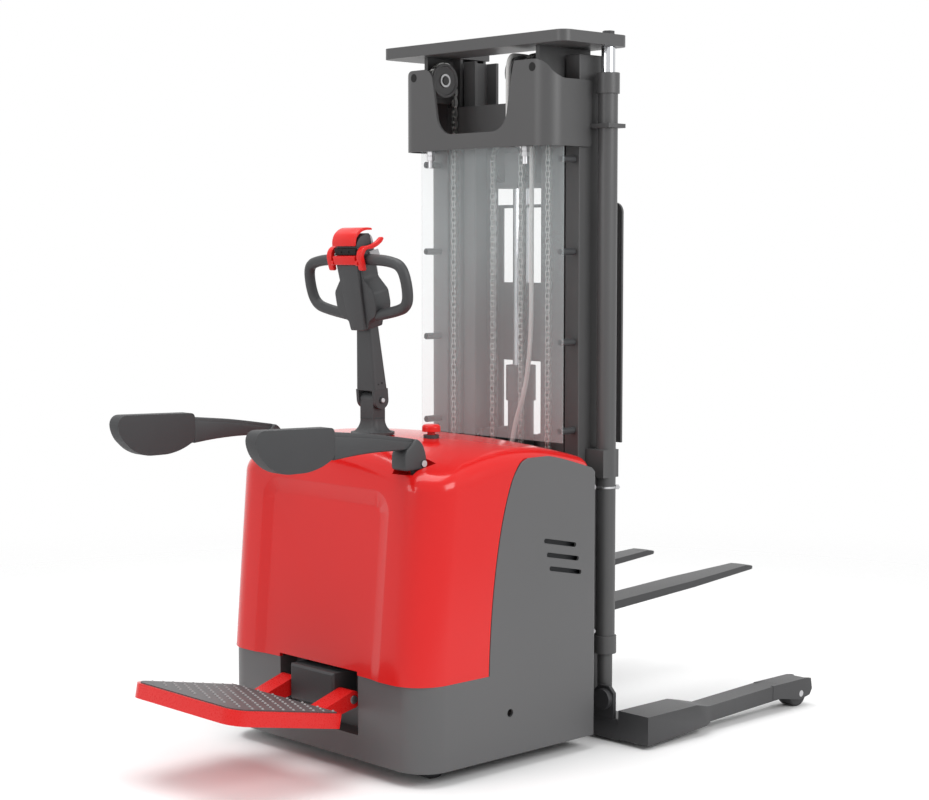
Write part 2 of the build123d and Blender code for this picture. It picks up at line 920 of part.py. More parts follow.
def stop_base():
    body = post(stop_x, stop_y, hood_crown - stop_depth, hood_crown, stop_body_radius)
    body = body & hood_inner
    bezel = post(stop_x, stop_y, hood_crown - hood_wall, hood_crown + stop_bezel, stop_body_radius)
    body += bezel - hood_outer
    body += post(stop_x, stop_y, hood_crown - 2 * hood_wall, hood_crown + stop_bezel, stop_neck_radius)
    return body - post(
        stop_x, stop_y, hood_crown - stop_depth + hood_wall, hood_crown + 20,
        stop_stem_radius + face_gap,
    )


def stop_button():
    low = hood_crown + stop_bezel + stop_travel + 1
    stem = post(
        stop_x, stop_y, hood_crown - stop_depth + hood_wall + stop_travel + 2, low + 8, stop_stem_radius,
    )
    head = post(stop_x, stop_y, low, low + 20, stop_head_radius)
    return stem + fillet(head.edges().group_by(Axis.Z)[-1], 9)


# Units inside the chassis

def battery():
    rear = chassis_front - frame_wall - battery_bay + frame_wall + 8
    front = chassis_front - frame_wall - 8
    half = chassis_half - frame_wall - 12
    top = skirt_top + panel_front_height - 40
    case = block(rear, front, -half, half, battery_floor, top)
    for side in (-1, 1):
        case += block(
            rear + 40, front - 40, side * half * 0.6 - 60, side * half * 0.6 + 60, top, top + 16,
        )
        case += post((rear + front) / 2, side * 80, top, top + 26, 14)
    return case


def pump_unit():
    x = steer_x + unit_forward
    body = block(
        x - unit_half, x + unit_half, unit_y - unit_half, unit_y + unit_half, deck_top,
        deck_top + pump_tank,
    )
    body += post(x, unit_y, deck_top + pump_tank, deck_top + pump_motor, pump_radius)
    return body + post(x, unit_y, deck_top + pump_motor, deck_top + pump_top, pump_radius - 18)


def motor_controller():
    x = steer_x + unit_forward
    y = -unit_y
    box = block(
        x - unit_half, x + unit_half, y - unit_half, y + unit_half, deck_top, deck_top + control_box,
    )
    for step in range(fin_count):
        fin_y = y - unit_half + (step + 1) * 2 * unit_half / (fin_count + 1)
        box += block(
            x - unit_half, x + unit_half, fin_y - 3, fin_y + 3, deck_top + control_box,
            deck_top + control_top,
        )
    return box


# Mast rails: three nested channels a side

def channel(rear, front, outer, width, low, top, side):
    inner = outer - width
    near, far = sorted((side * inner, side * outer))
    rail = block(rear, front, near, far, low, top)
    web_near, web_far = sorted((side * (inner - 1), side * (outer - rail_web)))
    return rail - block(rear + rail_flange, front - rail_flange, web_near, web_far, low - 1, top + 1)


def outer_rail(side):
    rail = channel(outer_rear, outer_front, outer_half, outer_rail_width, base_top, outer_top, side)
    near, far = sorted((side * (outer_half - outer_rail_width), side * outer_half))
    for low in bracket_heights:
        rail += block(chassis_front, outer_rear + 1, near, far, low, low + bracket_height)
    return rail


def middle_rail(side):
    return channel(
        middle_rear, inner_front, middle_half, middle_rail_width, middle_low, top_plate_low, side,
    )


def inner_rail(side):
    return channel(inner_rear, inner_front, inner_half_mast, inner_rail_width, inner_low, inner_top, side)


# Base beam, straddle legs and load wheels

def mast_base():
    inner = leg_outer - leg_block_width
    beam = block(base_rear, outer_front, -inner, inner, base_low, base_top)
    beam = fillet(beam.edges().filter_by(Axis.Y).sort_by(Axis.Z)[-2:], 14)
    plate_x = base_rear + 6
    for side in (-1, 1):
        near, far = sorted((side * (outer_half + 36), side * (outer_half + 112)))
        plate = block(plate_x, plate_x + 12, near, far, base_top - 20, base_top + 92)
        beam += chamfer(plate.edges().filter_by(Axis.X).group_by(Axis.Z)[-1], 18)
        beam += pin_x(side * (outer_half + 78), base_top + 54, plate_x - 16, plate_x + 1, leg_pin_radius)
    return beam


def straddle_leg(side):
    outer = leg_outer
    inner = leg_outer - leg_block_width
    mid = outer - (leg_block_width - leg_tube_width) / 2
    kink = leg_kink_x
    housing_rear = load_wheel_x - load_wheel_radius - 62
    side_view = outline([
        (base_rear, leg_block_low), (kink, leg_tube_low), (housing_rear, leg_front_low),
        (housing_rear, leg_front_top), (kink, leg_tube_top), (kink - 90, leg_block_top),
        (base_rear, leg_block_top),
    ])
    top_view = outline([
        (base_rear, inner), (kink - 40, inner), (kink, mid - leg_tube_width),
        (housing_rear, mid - leg_tube_width), (housing_rear, mid), (kink, mid),
        (kink - 40, outer), (base_rear, outer),
    ])
    leg = across(side_view, inner, outer) & upward(top_view, 0, leg_block_top + 1)
    plate = outline([
        (housing_rear - 40, leg_front_low + 2), (housing_rear, leg_front_low),
        (load_wheel_x - 10, load_wheel_radius - 18), (leg_tip_x - 12, load_wheel_radius - 10),
        (leg_tip_x, load_wheel_radius + 8), (leg_tip_x - 6, leg_front_top - 4),
        (leg_tip_x - 30, leg_front_top), (housing_rear - 40, leg_front_top),
    ])
    slot = load_wheel_width / 2 + 3
    wheel_y = mid - leg_tube_width / 2
    for cheek in (-1, 1):
        near, far = sorted((wheel_y + cheek * slot, wheel_y + cheek * (slot + fork_plate_thick)))
        leg += across(plate, near, far)
    lid_low = load_wheel_radius * 2 + 2
    leg += block(
        housing_rear - 4, leg_tip_x - 30, wheel_y - slot - 1, wheel_y + slot + 1, lid_low, leg_front_top,
    )
    leg -= shaft(
        load_wheel_x, load_wheel_radius, wheel_y - slot - 20, wheel_y + slot + 20, load_axle_radius,
    )
    return leg if side > 0 else other_side(leg)


def load_wheel_y(side):
    mid = leg_outer - (leg_block_width - leg_tube_width) / 2
    return side * (mid - leg_tube_width / 2)


def load_wheel(side):
    y = load_wheel_y(side)
    half = load_wheel_width / 2
    wheel = fillet(
        shaft(load_wheel_x, load_wheel_radius, y - half, y + half, load_wheel_radius).edges(), 5,
    )
    return wheel - shaft(
        load_wheel_x, load_wheel_radius, y - half - 1, y + half + 1, load_axle_radius + running_gap,
    )


def load_axle(side):
    y = load_wheel_y(side)
    reach = load_wheel_width / 2 + 3 + fork_plate_thick
    return shaft(load_wheel_x, load_wheel_radius, y - reach, y + reach, load_axle_radius)


# Outer crosshead: bent plate with a U cut and lifting eyes, carrying the chain shelves

def outer_crosshead():
    half = outer_half + crosshead_thick
    outside = outline([
        (crosshead_rear, -half), (crosshead_reach, -half), (crosshead_reach, half), (crosshead_rear, half),
    ])
    outside = fillet(outside.vertices().sort_by(Axis.X)[:2], crosshead_bend)
    front = crosshead_rear + crosshead_thick
    end = crosshead_reach + 1
    inside = outline([(front, -outer_half), (end, -outer_half), (end, outer_half), (front, outer_half)])
    inside = fillet(inside.vertices().sort_by(Axis.X)[:2], crosshead_bend - crosshead_thick)
    plate = upward(outside, crosshead_low, crosshead_ear)
    plate -= upward(inside, crosshead_low - 1, crosshead_ear + 1)
    ear_inner = ucut_half + ear_flare
    cut = outline([
        (-ucut_half, ucut_floor), (ucut_half, ucut_floor),
        (ear_inner, crosshead_ear), (-ear_inner, crosshead_ear),
    ])
    cut = fillet(cut.vertices().sort_by(Axis.Y)[:2], ucut_radius)
    plate -= along(cut, crosshead_rear - 1, front + 1)
    tops = plate.edges().filter_by(Axis.X).group_by(Axis.Z)[-1]
    plate = fillet([edge for edge in tops if abs(abs(edge.center().Y) - ear_inner) < 1], ear_radius)
    shoulder = outline([
        (crosshead_rear + shoulder_high, crosshead_ear + 1),
        (crosshead_rear + shoulder_low, crosshead_side),
        (end, crosshead_side), (end, crosshead_ear + 1),
    ])
    shoulder = fillet(shoulder.vertices().sort_by(Axis.Y)[:2].sort_by(Axis.X)[:1], shoulder_radius)
    plate -= across(shoulder, -half - 1, half + 1)
    for side in (-1, 1):
        plate -= pin_x(side * lift_eye_y, lift_eye_z, crosshead_rear - 1, front + 20, lift_eye_radius)
        plate += chain_shelf(side)
    plate += block(front, front + 30, hose_y - 14, hose_y + 14, chain_shelf_z - 12, chain_shelf_z)
    return plate


def chain_shelf(side):
    y = side * chain_y
    rear_run = mast_pulley_x - mast_pulley_pitch
    front = crosshead_rear + crosshead_thick
    shelf = block(front, rear_run + 14, y - 18, y + 18, chain_shelf_z - 12, chain_shelf_z)
    return shelf - post(rear_run, y, chain_shelf_z - 13, chain_shelf_z + 1, anchor_radius)


def chain_anchor(side):
    y = side * chain_y
    rear_run = mast_pulley_x - mast_pulley_pitch
    bolt = post(rear_run, y, anchor_low, chain_shelf_z, anchor_radius)
    for low in (chain_shelf_z - 12 - 13, chain_shelf_z - 12 - 28):
        bolt += Pos(rear_run, y, low) * extrude(RegularPolygon(13, 6), 13)
    return bolt


# Middle stage: top plate with side plates for the pulleys, ties, lift rods

def top_plate():
    face = outline([
        (top_plate_rear, -top_plate_half), (top_plate_front, -top_plate_half),
        (top_plate_front, top_plate_half), (top_plate_rear, top_plate_half),
    ])
    face = fillet(face.vertices(), top_plate_corner)
    top = top_plate_low + top_plate_thick
    plate = upward(face, top_plate_low, top)
    passage = (inner_half_mast + middle_tip) / 2
    plate -= block(inner_rear - 16, top_plate_front + 1, -passage, passage, top_plate_low - 1, top + 1)
    for side in (-1, 1):
        near, far = sorted((side * (middle_half - pulley_plate_thick), side * middle_half))
        plate += block(pulley_plate_rear, middle_rear, near, far, pulley_plate_low, top_plate_low)
        inner = chain_y - pulley_width / 2 - 3
        near, far = sorted((side * inner, side * (middle_half - pulley_plate_thick + 1)))
        plate += shaft(mast_pulley_x, mast_pulley_z, near, far, pulley_axle_radius)
    hose_end = abs(hose_y) - 12
    plate += shaft(
        mast_pulley_x, mast_pulley_z, -chain_y + pulley_width / 2 + 2, -hose_end, pulley_axle_radius - 2,
    )
    return plate


def middle_tie(low, high):
    return block(middle_rear - tie_thick, middle_rear, -middle_half, middle_half, low, high)


def lift_rod(side):
    return post(cylinder_x, side * cylinder_y, lift_rod_low, top_plate_low, lift_rod_radius)


def rod_bolt(side):
    top = top_plate_low + top_plate_thick
    return Pos(cylinder_x, side * cylinder_y, top) * extrude(RegularPolygon(18, 6), 12)


def grooved_pulley(x, z, y, pitch, bore, groove):
    half = pulley_width / 2
    rim = shaft(x, z, y - half, y + half, pitch + 2)
    rim -= shaft(x, z, y - groove / 2, y + groove / 2, pitch + 3) - shaft(
        x, z, y - half, y + half, pitch - chain_thick / 2 - face_gap,
    )
    return rim - shaft(x, z, y - half - 1, y + half + 1, bore + running_gap)


def mast_pulley(side):
    return grooved_pulley(
        mast_pulley_x, mast_pulley_z, side * chain_y, mast_pulley_pitch, pulley_axle_radius,
        chain_width + 2,
    )


def hose_pulley():
    half = hose_radius + 5
    radius = hose_pulley_pitch + 2
    wheel = shaft(mast_pulley_x, mast_pulley_z, hose_y - half, hose_y + half, radius)
    groove = shaft(
        mast_pulley_x, mast_pulley_z, hose_y - hose_radius - 1, hose_y + hose_radius + 1, radius + 1,
    )
    core = shaft(
        mast_pulley_x, mast_pulley_z, hose_y - half, hose_y + half,
        hose_pulley_pitch - hose_radius - face_gap,
    )
    wheel -= groove - core
    return wheel - shaft(
        mast_pulley_x, mast_pulley_z, hose_y - half - 1, hose_y + half + 1,
        pulley_axle_radius - 2 + running_gap,
    )


# Lift cylinders beside the outer rails

def lift_cylinder(side):
    x, y = cylinder_x, side * cylinder_y
    body = post(x, y, barrel_low, gland_low, barrel_radius)
    body += post(x, y, gland_low, gland_high, gland_radius)
    body += post(x, y, barrel_low, barrel_low + 52, gland_radius)
    body += post(x, y, base_top, barrel_low, foot_radius)
    near, far = sorted((side * outer_half, side * (cylinder_y + 26)))
    body += block(x - 40, x + 26, near, far, clamp_low, clamp_high)
    near, far = sorted((side * (outer_half + crosshead_thick), side * (cylinder_y + 36)))
    body += block(x - 36, x + 36, near, far, upper_clamp, upper_clamp + upper_clamp_thick)
    body -= post(x, y, lift_rod_low - 20, gland_low, barrel_bore)
    return body - post(x, y, gland_low - 1, gland_high + 1, lift_rod_radius + running_gap)


# Chains and hoses as plain runs

def chain_run(x, y, low, high):
    return block(
        x - chain_thick / 2, x + chain_thick / 2, y - chain_width / 2, y + chain_width / 2, low, high,
    )


def chain_over(x, z, y, pitch, front_low):
    half = chain_width / 2
    ring = shaft(x, z, y - half, y + half, pitch + chain_thick / 2) - shaft(
        x, z, y - half - 1, y + half + 1, pitch - chain_thick / 2,
    )
    ring &= block(x - 2 * pitch, x + 2 * pitch, y - half - 1, y + half + 1, z, z + 2 * pitch)
    return ring + chain_run(x + pitch, y, front_low, z)


def hose_over():
    front = mast_pulley_x + hose_pulley_pitch
    bend = hose_pulley_pitch
    rear = mast_pulley_x - hose_pulley_pitch
    port_x = cylinder_x - free_barrel_radius
    path = FilletPolyline(
        (rear, hose_y, chain_shelf_z), (rear, hose_y, mast_pulley_z + bend),
        (front, hose_y, mast_pulley_z + bend), (front, hose_y, hose_slant_top),
        (front + 8, -30, hose_slant_low), (front + 10, -6, hose_foot_top),
        (front + 12, 0, hose_port_z), (port_x, 0, hose_port_z),
        radius=[bend - 0.2, bend - 0.2, 120, 90, 60, 24],
    )
    start = Plane(origin=path @ 0, z_dir=path % 0)
    return sweep(start * Circle(hose_radius), path=path)


# Inner stage: rails, ties, free lift cylinder

def inner_tie():
    tie = block(inner_rear, inner_front, -inner_tip, inner_tip, free_barrel_low - 20, free_barrel_low)
    run = cylinder_x - yoke_pulley_pitch
    tie += block(
        run - 12, run + 12, -free_chain_y - 16, free_chain_y + 16, free_barrel_low, free_hook_z - 40,
    )
    top = block(inner_rear, inner_rear + 12, -inner_tip, inner_tip, inner_low, free_barrel_low - 19)
    return tie + top


def chain_hook(side):
    front_run = mast_pulley_x + mast_pulley_pitch
    near, far = sorted((side * (inner_tip + 10), side * (chain_y + 12)))
    hook = block(front_run - 10, middle_rear - 2, near, far, chain_hook_z - 16, chain_hook_z)
    near, far = sorted((side * (inner_tip + 10), side * inner_half_mast))
    return hook + block(front_run + 10, inner_rear, near, far, chain_hook_z - 40, chain_hook_z)


def free_lift_cylinder():
    body = post(cylinder_x, 0, free_barrel_low, free_gland_low, free_barrel_radius)
    body += post(cylinder_x, 0, free_gland_low, free_gland_high, free_gland_radius)
    body -= post(cylinder_x, 0, free_rod_low - 220, free_gland_low, free_bore)
    return body - post(
        cylinder_x, 0, free_gland_low - 1, free_gland_high + 1, free_rod_radius + running_gap,
    )


def free_lift_rod():
    return post(cylinder_x, 0, free_rod_low, free_rod_high, free_rod_radius)


def free_lift_yoke():
    low = free_rod_high
    deep = yoke_depth
    base = block(cylinder_x - deep, cylinder_x + deep, -yoke_half, yoke_half, low, low + yoke_base)
    base = chamfer(base.edges().filter_by(Axis.X).group_by(Axis.Z)[0], yoke_base - 4)
    inner = free_chain_y + pulley_width / 2 + 2
    body = base + block(cylinder_x - deep, cylinder_x + deep, -36, 36, low, yoke_pulley_z + 24)
    for side in (-1, 1):
        near, far = sorted((side * inner, side * yoke_half))
        body += block(
            cylinder_x - deep, cylinder_x + deep, near, far, low + yoke_base - 1, yoke_pulley_z + 48,
        )
    return body + shaft(cylinder_x, yoke_pulley_z, -yoke_half, yoke_half, yoke_axle_radius)


def yoke_pulley(side):
    return grooved_pulley(
        cylinder_x, yoke_pulley_z, side * free_chain_y, yoke_pulley_pitch, yoke_axle_radius,
        chain_width + 2,
    )


# Carriage, rollers, forks and backrest

def carriage_frame():
    inner = carriage_plate_outer - carriage_plate_thick
    body = block(
        fork_bar_rear, fork_bar_front, -fork_bar_half, fork_bar_half, upper_bar_low, upper_bar_top,
    )
    body += block(
        fork_bar_rear, fork_bar_front, -fork_bar_half, fork_bar_half, lower_bar_low, lower_bar_top,
    )
    for side in (-1, 1):
        near, far = sorted((side * inner, side * carriage_plate_outer))
        body += block(
            inner_rear + 12, fork_bar_rear + 1, near, far, carriage_plate_low, carriage_plate_top,
        )
        axle_end = inner_half_mast - rail_web - 3
        near, far = sorted((side * (inner + 1), side * axle_end))
        for z in roller_heights:
            body += shaft((inner_rear + inner_front) / 2, z, near, far, roller_axle_radius)
        run = cylinder_x + yoke_pulley_pitch
        y = side * free_chain_y
        body += block(run - 10, fork_bar_rear + 1, y - 16, y + 16, upper_bar_top - 40, upper_bar_top)
    return body


def roller(side, z):
    x = (inner_rear + inner_front) / 2
    far = inner_half_mast - rail_web - 4
    near, end = sorted((side * (far - roller_width), side * far))
    return shaft(x, z, near, end, roller_radius) - shaft(
        x, z, near - 1, end + 1, roller_axle_radius + running_gap,
    )


def fork(side):
    heel = fork_bar_front + fork_shank
    profile = outline([
        (fork_bar_front, fork_heel_low + 14), (fork_bar_front + 14, fork_heel_low),
        (heel, fork_heel_low + 1), (fork_tip_x, fork_tip_low), (fork_tip_x, fork_point_z + 3),
        (fork_tip_x - 50, fork_tip_top), (heel + 12, fork_heel_top), (heel, fork_heel_top + 12),
        (heel, upper_bar_top), (fork_bar_front, upper_bar_top),
    ])
    half = fork_width / 2
    tip = fork_tip_width / 2
    top_view = outline([
        (fork_bar_front - 1, -half), (fork_tip_x - fork_taper, -half), (fork_tip_x, -tip),
        (fork_tip_x, tip), (fork_tip_x - fork_taper, half), (fork_bar_front - 1, half),
    ])
    top_view = fillet(top_view.vertices().sort_by(Axis.X)[-2:], tip - 4)
    blade = across(profile, -half, half) & upward(top_view, 0, upper_bar_top + 1)
    return Pos(0, side * fork_y, 0) * blade


def backrest():
    front = fork_bar_front
    frame = outline([
        (-backrest_half, upper_bar_top), (backrest_half, upper_bar_top),
        (backrest_half, backrest_top), (-backrest_half, backrest_top),
    ])
    frame = fillet(frame.vertices().sort_by(Axis.Y)[-2:], backrest_corner)
    plate = along(frame, front - backrest_thick, front)
    for low, high in (
        (upper_bar_top - 1, backrest_plate_low), (backrest_plate_top, backrest_top - backrest_bar),
    ):
        plate -= block(front - 20, front + 1, -backrest_inner, backrest_inner, low, high)
    for side in (-1, 1):
        plate -= pin_x(
            side * (backrest_half - 60), backrest_top - 55, front - 20, front + 1, backrest_hole_radius,
        )
    return plate


def guard_panel():
    return block(
        guard_x - guard_thick / 2, guard_x + guard_thick / 2, -guard_half, guard_half, guard_low,
        guard_top,
    )


def standoff(side, z):
    return pin_x(side * standoff_y, z, guard_x + guard_thick / 2, outer_rear, standoff_radius)


sides = (1, -1)
mast_chain_rear_x = mast_pulley_x - mast_pulley_pitch
free_chain_rear_x = cylinder_x - yoke_pulley_pitch

save("chassis_frame", chassis_frame())
save("hood", hood())
save("battery", battery())
save("pump_unit", pump_unit())
save("motor_controller", motor_controller())
save("steering_bearing", steering_bearing())
save("platform_bracket", platform_bracket())
save("arm_lugs", *[arm_lug(side) for side in sides])
save(
    "pivot_pins", platform_pin(), *[arm_bolt(side) for side in sides],
    *[load_axle(side) for side in sides],
)
save("stop_base", stop_base())
save("outer_rails", *[outer_rail(side) for side in sides])
save("mast_base", mast_base())
save("straddle_leg_left", straddle_leg(1))
save("straddle_leg_right", straddle_leg(-1))
save("outer_crosshead", outer_crosshead())
save("chain_anchors", *[chain_anchor(side) for side in sides])
save("lift_cylinders", *[lift_cylinder(side) for side in sides])
save("guard_panel", guard_panel())
save("guard_standoffs", *[standoff(side, z) for side in sides for z in standoff_heights])
save(
    "mast_chains_rear",
    *[chain_run(mast_chain_rear_x, side * chain_y, chain_shelf_z, mast_pulley_z) for side in sides],
)

save("gearbox", gearbox())
save("drive_motor", drive_motor())
save("steering_post", steering_post())
save("drive_wheel", drive_wheel())
save("caster_fork_left", caster_fork(1))
save("caster_fork_right", caster_fork(-1))
save("caster_wheel_left", caster_wheel(1))
save("caster_wheel_right", caster_wheel(-1))
save("load_wheel_left", load_wheel(1))
save("load_wheel_right", load_wheel(-1))

save("tiller_arm", tiller_arm())
save("tiller_head", tiller_head())
save("tiller_loops", *[tiller_loop(side) for side in sides])
save("tiller_cap", tiller_cap())
save("throttle_levers", throttle_levers())
save("lift_rocker", lift_rocker())
save("stop_button", stop_button())

save("platform_tray", platform_tray())
save("platform_mat", platform_mat())
save("side_arm_left", side_arm(1))
save("side_arm_right", side_arm(-1))
save("arm_pad_left", arm_pad(1))
save("arm_pad_right", arm_pad(-1))

middle_ties = middle_tie(tie_low, tie_high) + middle_tie(middle_low, middle_low + low_tie_height)
save("middle_frame", middle_rail(1) + middle_rail(-1) + top_plate() + middle_ties)
save("lift_rods", *[lift_rod(side) for side in sides], *[rod_bolt(side) for side in sides])
save("mast_pulleys", *[mast_pulley(side) for side in sides], hose_pulley())
save("mast_chains_front", *[
    chain_over(
        mast_pulley_x, mast_pulley_z, side * chain_y, mast_pulley_pitch, chain_hook_z,
    ) for side in sides
])
save("lift_hose", hose_over())

save("inner_frame", inner_rail(1) + inner_rail(-1) + inner_tie() + chain_hook(1) + chain_hook(-1))
save("free_lift_cylinder", free_lift_cylinder())
save("free_chains_rear", *[
    chain_run(free_chain_rear_x, side * free_chain_y, free_hook_z - 40, yoke_pulley_z) for side in sides
])
save("free_lift_rod", free_lift_rod())
save("free_lift_yoke", free_lift_yoke())
save("yoke_pulleys", *[yoke_pulley(side) for side in sides])
save("free_chains_front", *[
    chain_over(
        cylinder_x, yoke_pulley_z, side * free_chain_y, yoke_pulley_pitch, upper_bar_top,
    ) for side in sides
])
save("carriage_frame", carriage_frame())
save("carriage_rollers_low", *[roller(side, roller_heights[0]) for side in sides])
save("carriage_rollers_high", *[roller(side, roller_heights[1]) for side in sides])
save("forks", *[fork(side) for side in sides])
save("backrest", backrest())
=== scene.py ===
import json
import math
import bpy
import bmesh
from mathutils import Matrix, Vector

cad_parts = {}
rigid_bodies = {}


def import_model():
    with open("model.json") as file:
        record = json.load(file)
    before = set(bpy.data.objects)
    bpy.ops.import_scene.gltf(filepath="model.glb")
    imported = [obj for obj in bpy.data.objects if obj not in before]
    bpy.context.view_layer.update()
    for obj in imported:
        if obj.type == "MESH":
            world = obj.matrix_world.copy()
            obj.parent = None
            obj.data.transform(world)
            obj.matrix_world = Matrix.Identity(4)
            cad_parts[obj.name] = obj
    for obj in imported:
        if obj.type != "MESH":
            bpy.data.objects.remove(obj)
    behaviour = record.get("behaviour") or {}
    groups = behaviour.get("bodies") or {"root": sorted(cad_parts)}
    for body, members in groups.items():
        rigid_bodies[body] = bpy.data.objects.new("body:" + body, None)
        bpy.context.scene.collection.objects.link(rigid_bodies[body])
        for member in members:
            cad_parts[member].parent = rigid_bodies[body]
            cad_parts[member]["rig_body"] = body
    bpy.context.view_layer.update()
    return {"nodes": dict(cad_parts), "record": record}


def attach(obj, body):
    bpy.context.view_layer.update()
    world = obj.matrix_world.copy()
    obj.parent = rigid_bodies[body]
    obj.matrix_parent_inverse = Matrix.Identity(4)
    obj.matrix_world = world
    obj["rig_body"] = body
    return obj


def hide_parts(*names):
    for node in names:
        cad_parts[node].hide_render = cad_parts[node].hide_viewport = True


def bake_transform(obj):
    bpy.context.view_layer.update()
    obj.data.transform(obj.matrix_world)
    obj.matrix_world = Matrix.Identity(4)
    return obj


for starter in list(bpy.data.objects):
    bpy.data.objects.remove(starter)
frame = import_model()
nodes = frame["nodes"]
originX = 587  # truck x, in mm, at the frame's origin


def metres(x, y, z):
    return Vector((x / 1000, y / 1000, z / 1000))


def mm(x, y, z):
    return metres(x - originX, y, z)


def turnBy(degrees, axis):
    return Matrix.Rotation(math.radians(degrees), 4, axis)


# materials

def finish(name, color, rough, blotch, blotchScale, grain, bump, roughSpread=0.08, metallic=0.0, coat=0.0,
           specular=0.4, alpha=1.0):
    mat = bpy.data.materials.new(name)
    mat.use_nodes = True
    tree = mat.node_tree
    shader = tree.nodes["Principled BSDF"]
    shader.inputs["Metallic"].default_value = metallic
    shader.inputs["Coat Weight"].default_value = coat
    shader.inputs["Coat Roughness"].default_value = 0.05
    shader.inputs["Specular IOR Level"].default_value = specular
    shader.inputs["Alpha"].default_value = alpha
    coords = tree.nodes.new("ShaderNodeTexCoord")

    def noise(scale, detail):
        tex = tree.nodes.new("ShaderNodeTexNoise")
        tex.inputs["Scale"].default_value = scale
        tex.inputs["Detail"].default_value = detail
        tree.links.new(coords.outputs["Object"], tex.inputs["Vector"])
        return tex

    cloud = noise(blotchScale, 4)
    mix = tree.nodes.new("ShaderNodeMix")
    mix.data_type = "RGBA"
    share, dark, light = mix.inputs[0], mix.inputs[6], mix.inputs[7]  # its sockets for colors
    dark.default_value = [c * (1 - blotch) for c in color] + [1]
    light.default_value = [min(1, c * (1 + blotch)) for c in color] + [1]
    tree.links.new(cloud.outputs["Fac"], share)
    tree.links.new(mix.outputs[2], shader.inputs["Base Color"])
    speck = noise(grain, 3)
    spread = tree.nodes.new("ShaderNodeMapRange")
    spread.inputs["To Min"].default_value = max(0.02, rough - roughSpread)
    spread.inputs["To Max"].default_value = min(1, rough + roughSpread)
    tree.links.new(speck.outputs["Fac"], spread.inputs["Value"])
    tree.links.new(spread.outputs["Result"], shader.inputs["Roughness"])
    dent = tree.nodes.new("ShaderNodeBump")
    dent.inputs["Strength"].default_value = bump
    dent.inputs["Distance"].default_value = 0.001
    tree.links.new(speck.outputs["Fac"], dent.inputs["Height"])
    tree.links.new(dent.outputs["Normal"], shader.inputs["Normal"])
    return mat


# color, then roughness, blotch, blotch scale, grain, bump and the spread of roughness
finishes = {
    "chassis_paint": finish("chassisPaint", (0.095, 0.095, 0.097), 0.42, 0.07, 2.0, 420, 0.10),
    "hood_gloss": finish("hoodGloss", (0.61, 0.010, 0.009), 0.20, 0.03, 1.6, 300, 0.01, 0.05,
                         coat=0.2, specular=0.25),
    "mast_paint": finish("mastPaint", (0.068, 0.068, 0.069), 0.42, 0.10, 2.4, 380, 0.09),
    "fork_paint": finish("forkPaint", (0.036, 0.036, 0.038), 0.40, 0.14, 5.0, 300, 0.10),
    "red_paint": finish("redPaint", (0.62, 0.011, 0.010), 0.28, 0.03, 3.0, 320, 0.03, 0.05,
                        coat=0.1, specular=0.25),
    "red_button": finish("redButton", (0.64, 0.012, 0.010), 0.30, 0.03, 8.0, 500, 0.03, 0.05, specular=0.3),
    "charcoal_plastic": finish("charcoalPlastic", (0.038, 0.039, 0.041), 0.52, 0.08, 6.0, 900, 0.14),
    "grey_plastic": finish("greyPlastic", (0.34, 0.34, 0.35), 0.45, 0.05, 8.0, 700, 0.06),
    "pad_foam": finish("padSkin", (0.036, 0.037, 0.039), 0.60, 0.08, 9.0, 1100, 0.30),
    "chrome_rod": finish("chromeRod", (0.58, 0.59, 0.61), 0.12, 0.02, 3.0, 600, 0.01, 0.03, metallic=1.0),
    "bright_steel": finish("brightSteel", (0.50, 0.50, 0.51), 0.34, 0.10, 9.0, 500, 0.05, metallic=1.0),
    "chain_steel": finish("chainSteel", (0.46, 0.46, 0.45), 0.36, 0.16, 30.0, 700, 0.05, 0.10, metallic=1.0),
    "iron": finish("castIron", (0.055, 0.055, 0.057), 0.62, 0.15, 12.0, 300, 0.30),
    "battery_case": finish("batteryCase", (0.030, 0.032, 0.036), 0.50, 0.08, 5.0, 500, 0.10),
    "mat_rubber": finish("matRubber", (0.080, 0.082, 0.085), 0.50, 0.12, 10.0, 700, 0.20),
    "tyre_poly": finish("tyrePoly", (0.028, 0.028, 0.030), 0.55, 0.10, 10.0, 500, 0.12),
    "guard_clear": finish("guardClear", (0.81, 0.90, 0.91), 0.16, 0.02, 2.0, 200, 0.01, 0.03, alpha=0.16),
    "hose_white": finish("hoseWhite", (0.55, 0.55, 0.54), 0.48, 0.05, 12.0, 600, 0.06),
}
# near-black: painted shade inside the crosshead's eye holes and the tiller's screw holes, and the own colour
# of the tiller head's black band
holeShadeAndBlackBand = finish("holeShadeAndBlackBand", (0.004, 0.004, 0.004), 0.8, 0.05, 5.0, 300, 0.02)
wheelGrey = finish("wheelGrey", (0.12, 0.12, 0.122), 0.45, 0.10, 12.0, 400, 0.08)
# lighter than the mat's rubber: painted sheen on the mat's studs
studSheenGrey = finish("studSheenGrey", (0.27, 0.27, 0.27), 0.40, 0.10, 20.0, 500, 0.05)


# pieces

def addObject(name, data):
    obj = bpy.data.objects.new(name, data)
    bpy.context.scene.collection.objects.link(obj)
    return obj


def softEdges(bm, angle):
    limit = math.radians(angle)
    for face in bm.faces:
        face.smooth = True
    for edge in bm.edges:
        edge.smooth = len(edge.link_faces) == 2 and edge.calc_face_angle(0) < limit


def shownBox(obj):
    # lowest corner, then the highest one with its sign turned
    bpy.context.view_layer.update()
    shown = obj.evaluated_get(bpy.context.evaluated_depsgraph_get())
    points = [v.co.copy() for v in shown.to_mesh().vertices]
    shown.to_mesh_clear()
    return [min(q[i] for q in points) for i in range(3)] + [-max(q[i] for q in points) for i in range(3)]


rounding = {
    "usual": 0.0012, "small": 0.0008, "segments": 2,
    "slack": 0.0005,  # how far it may pass the sharp shape
}


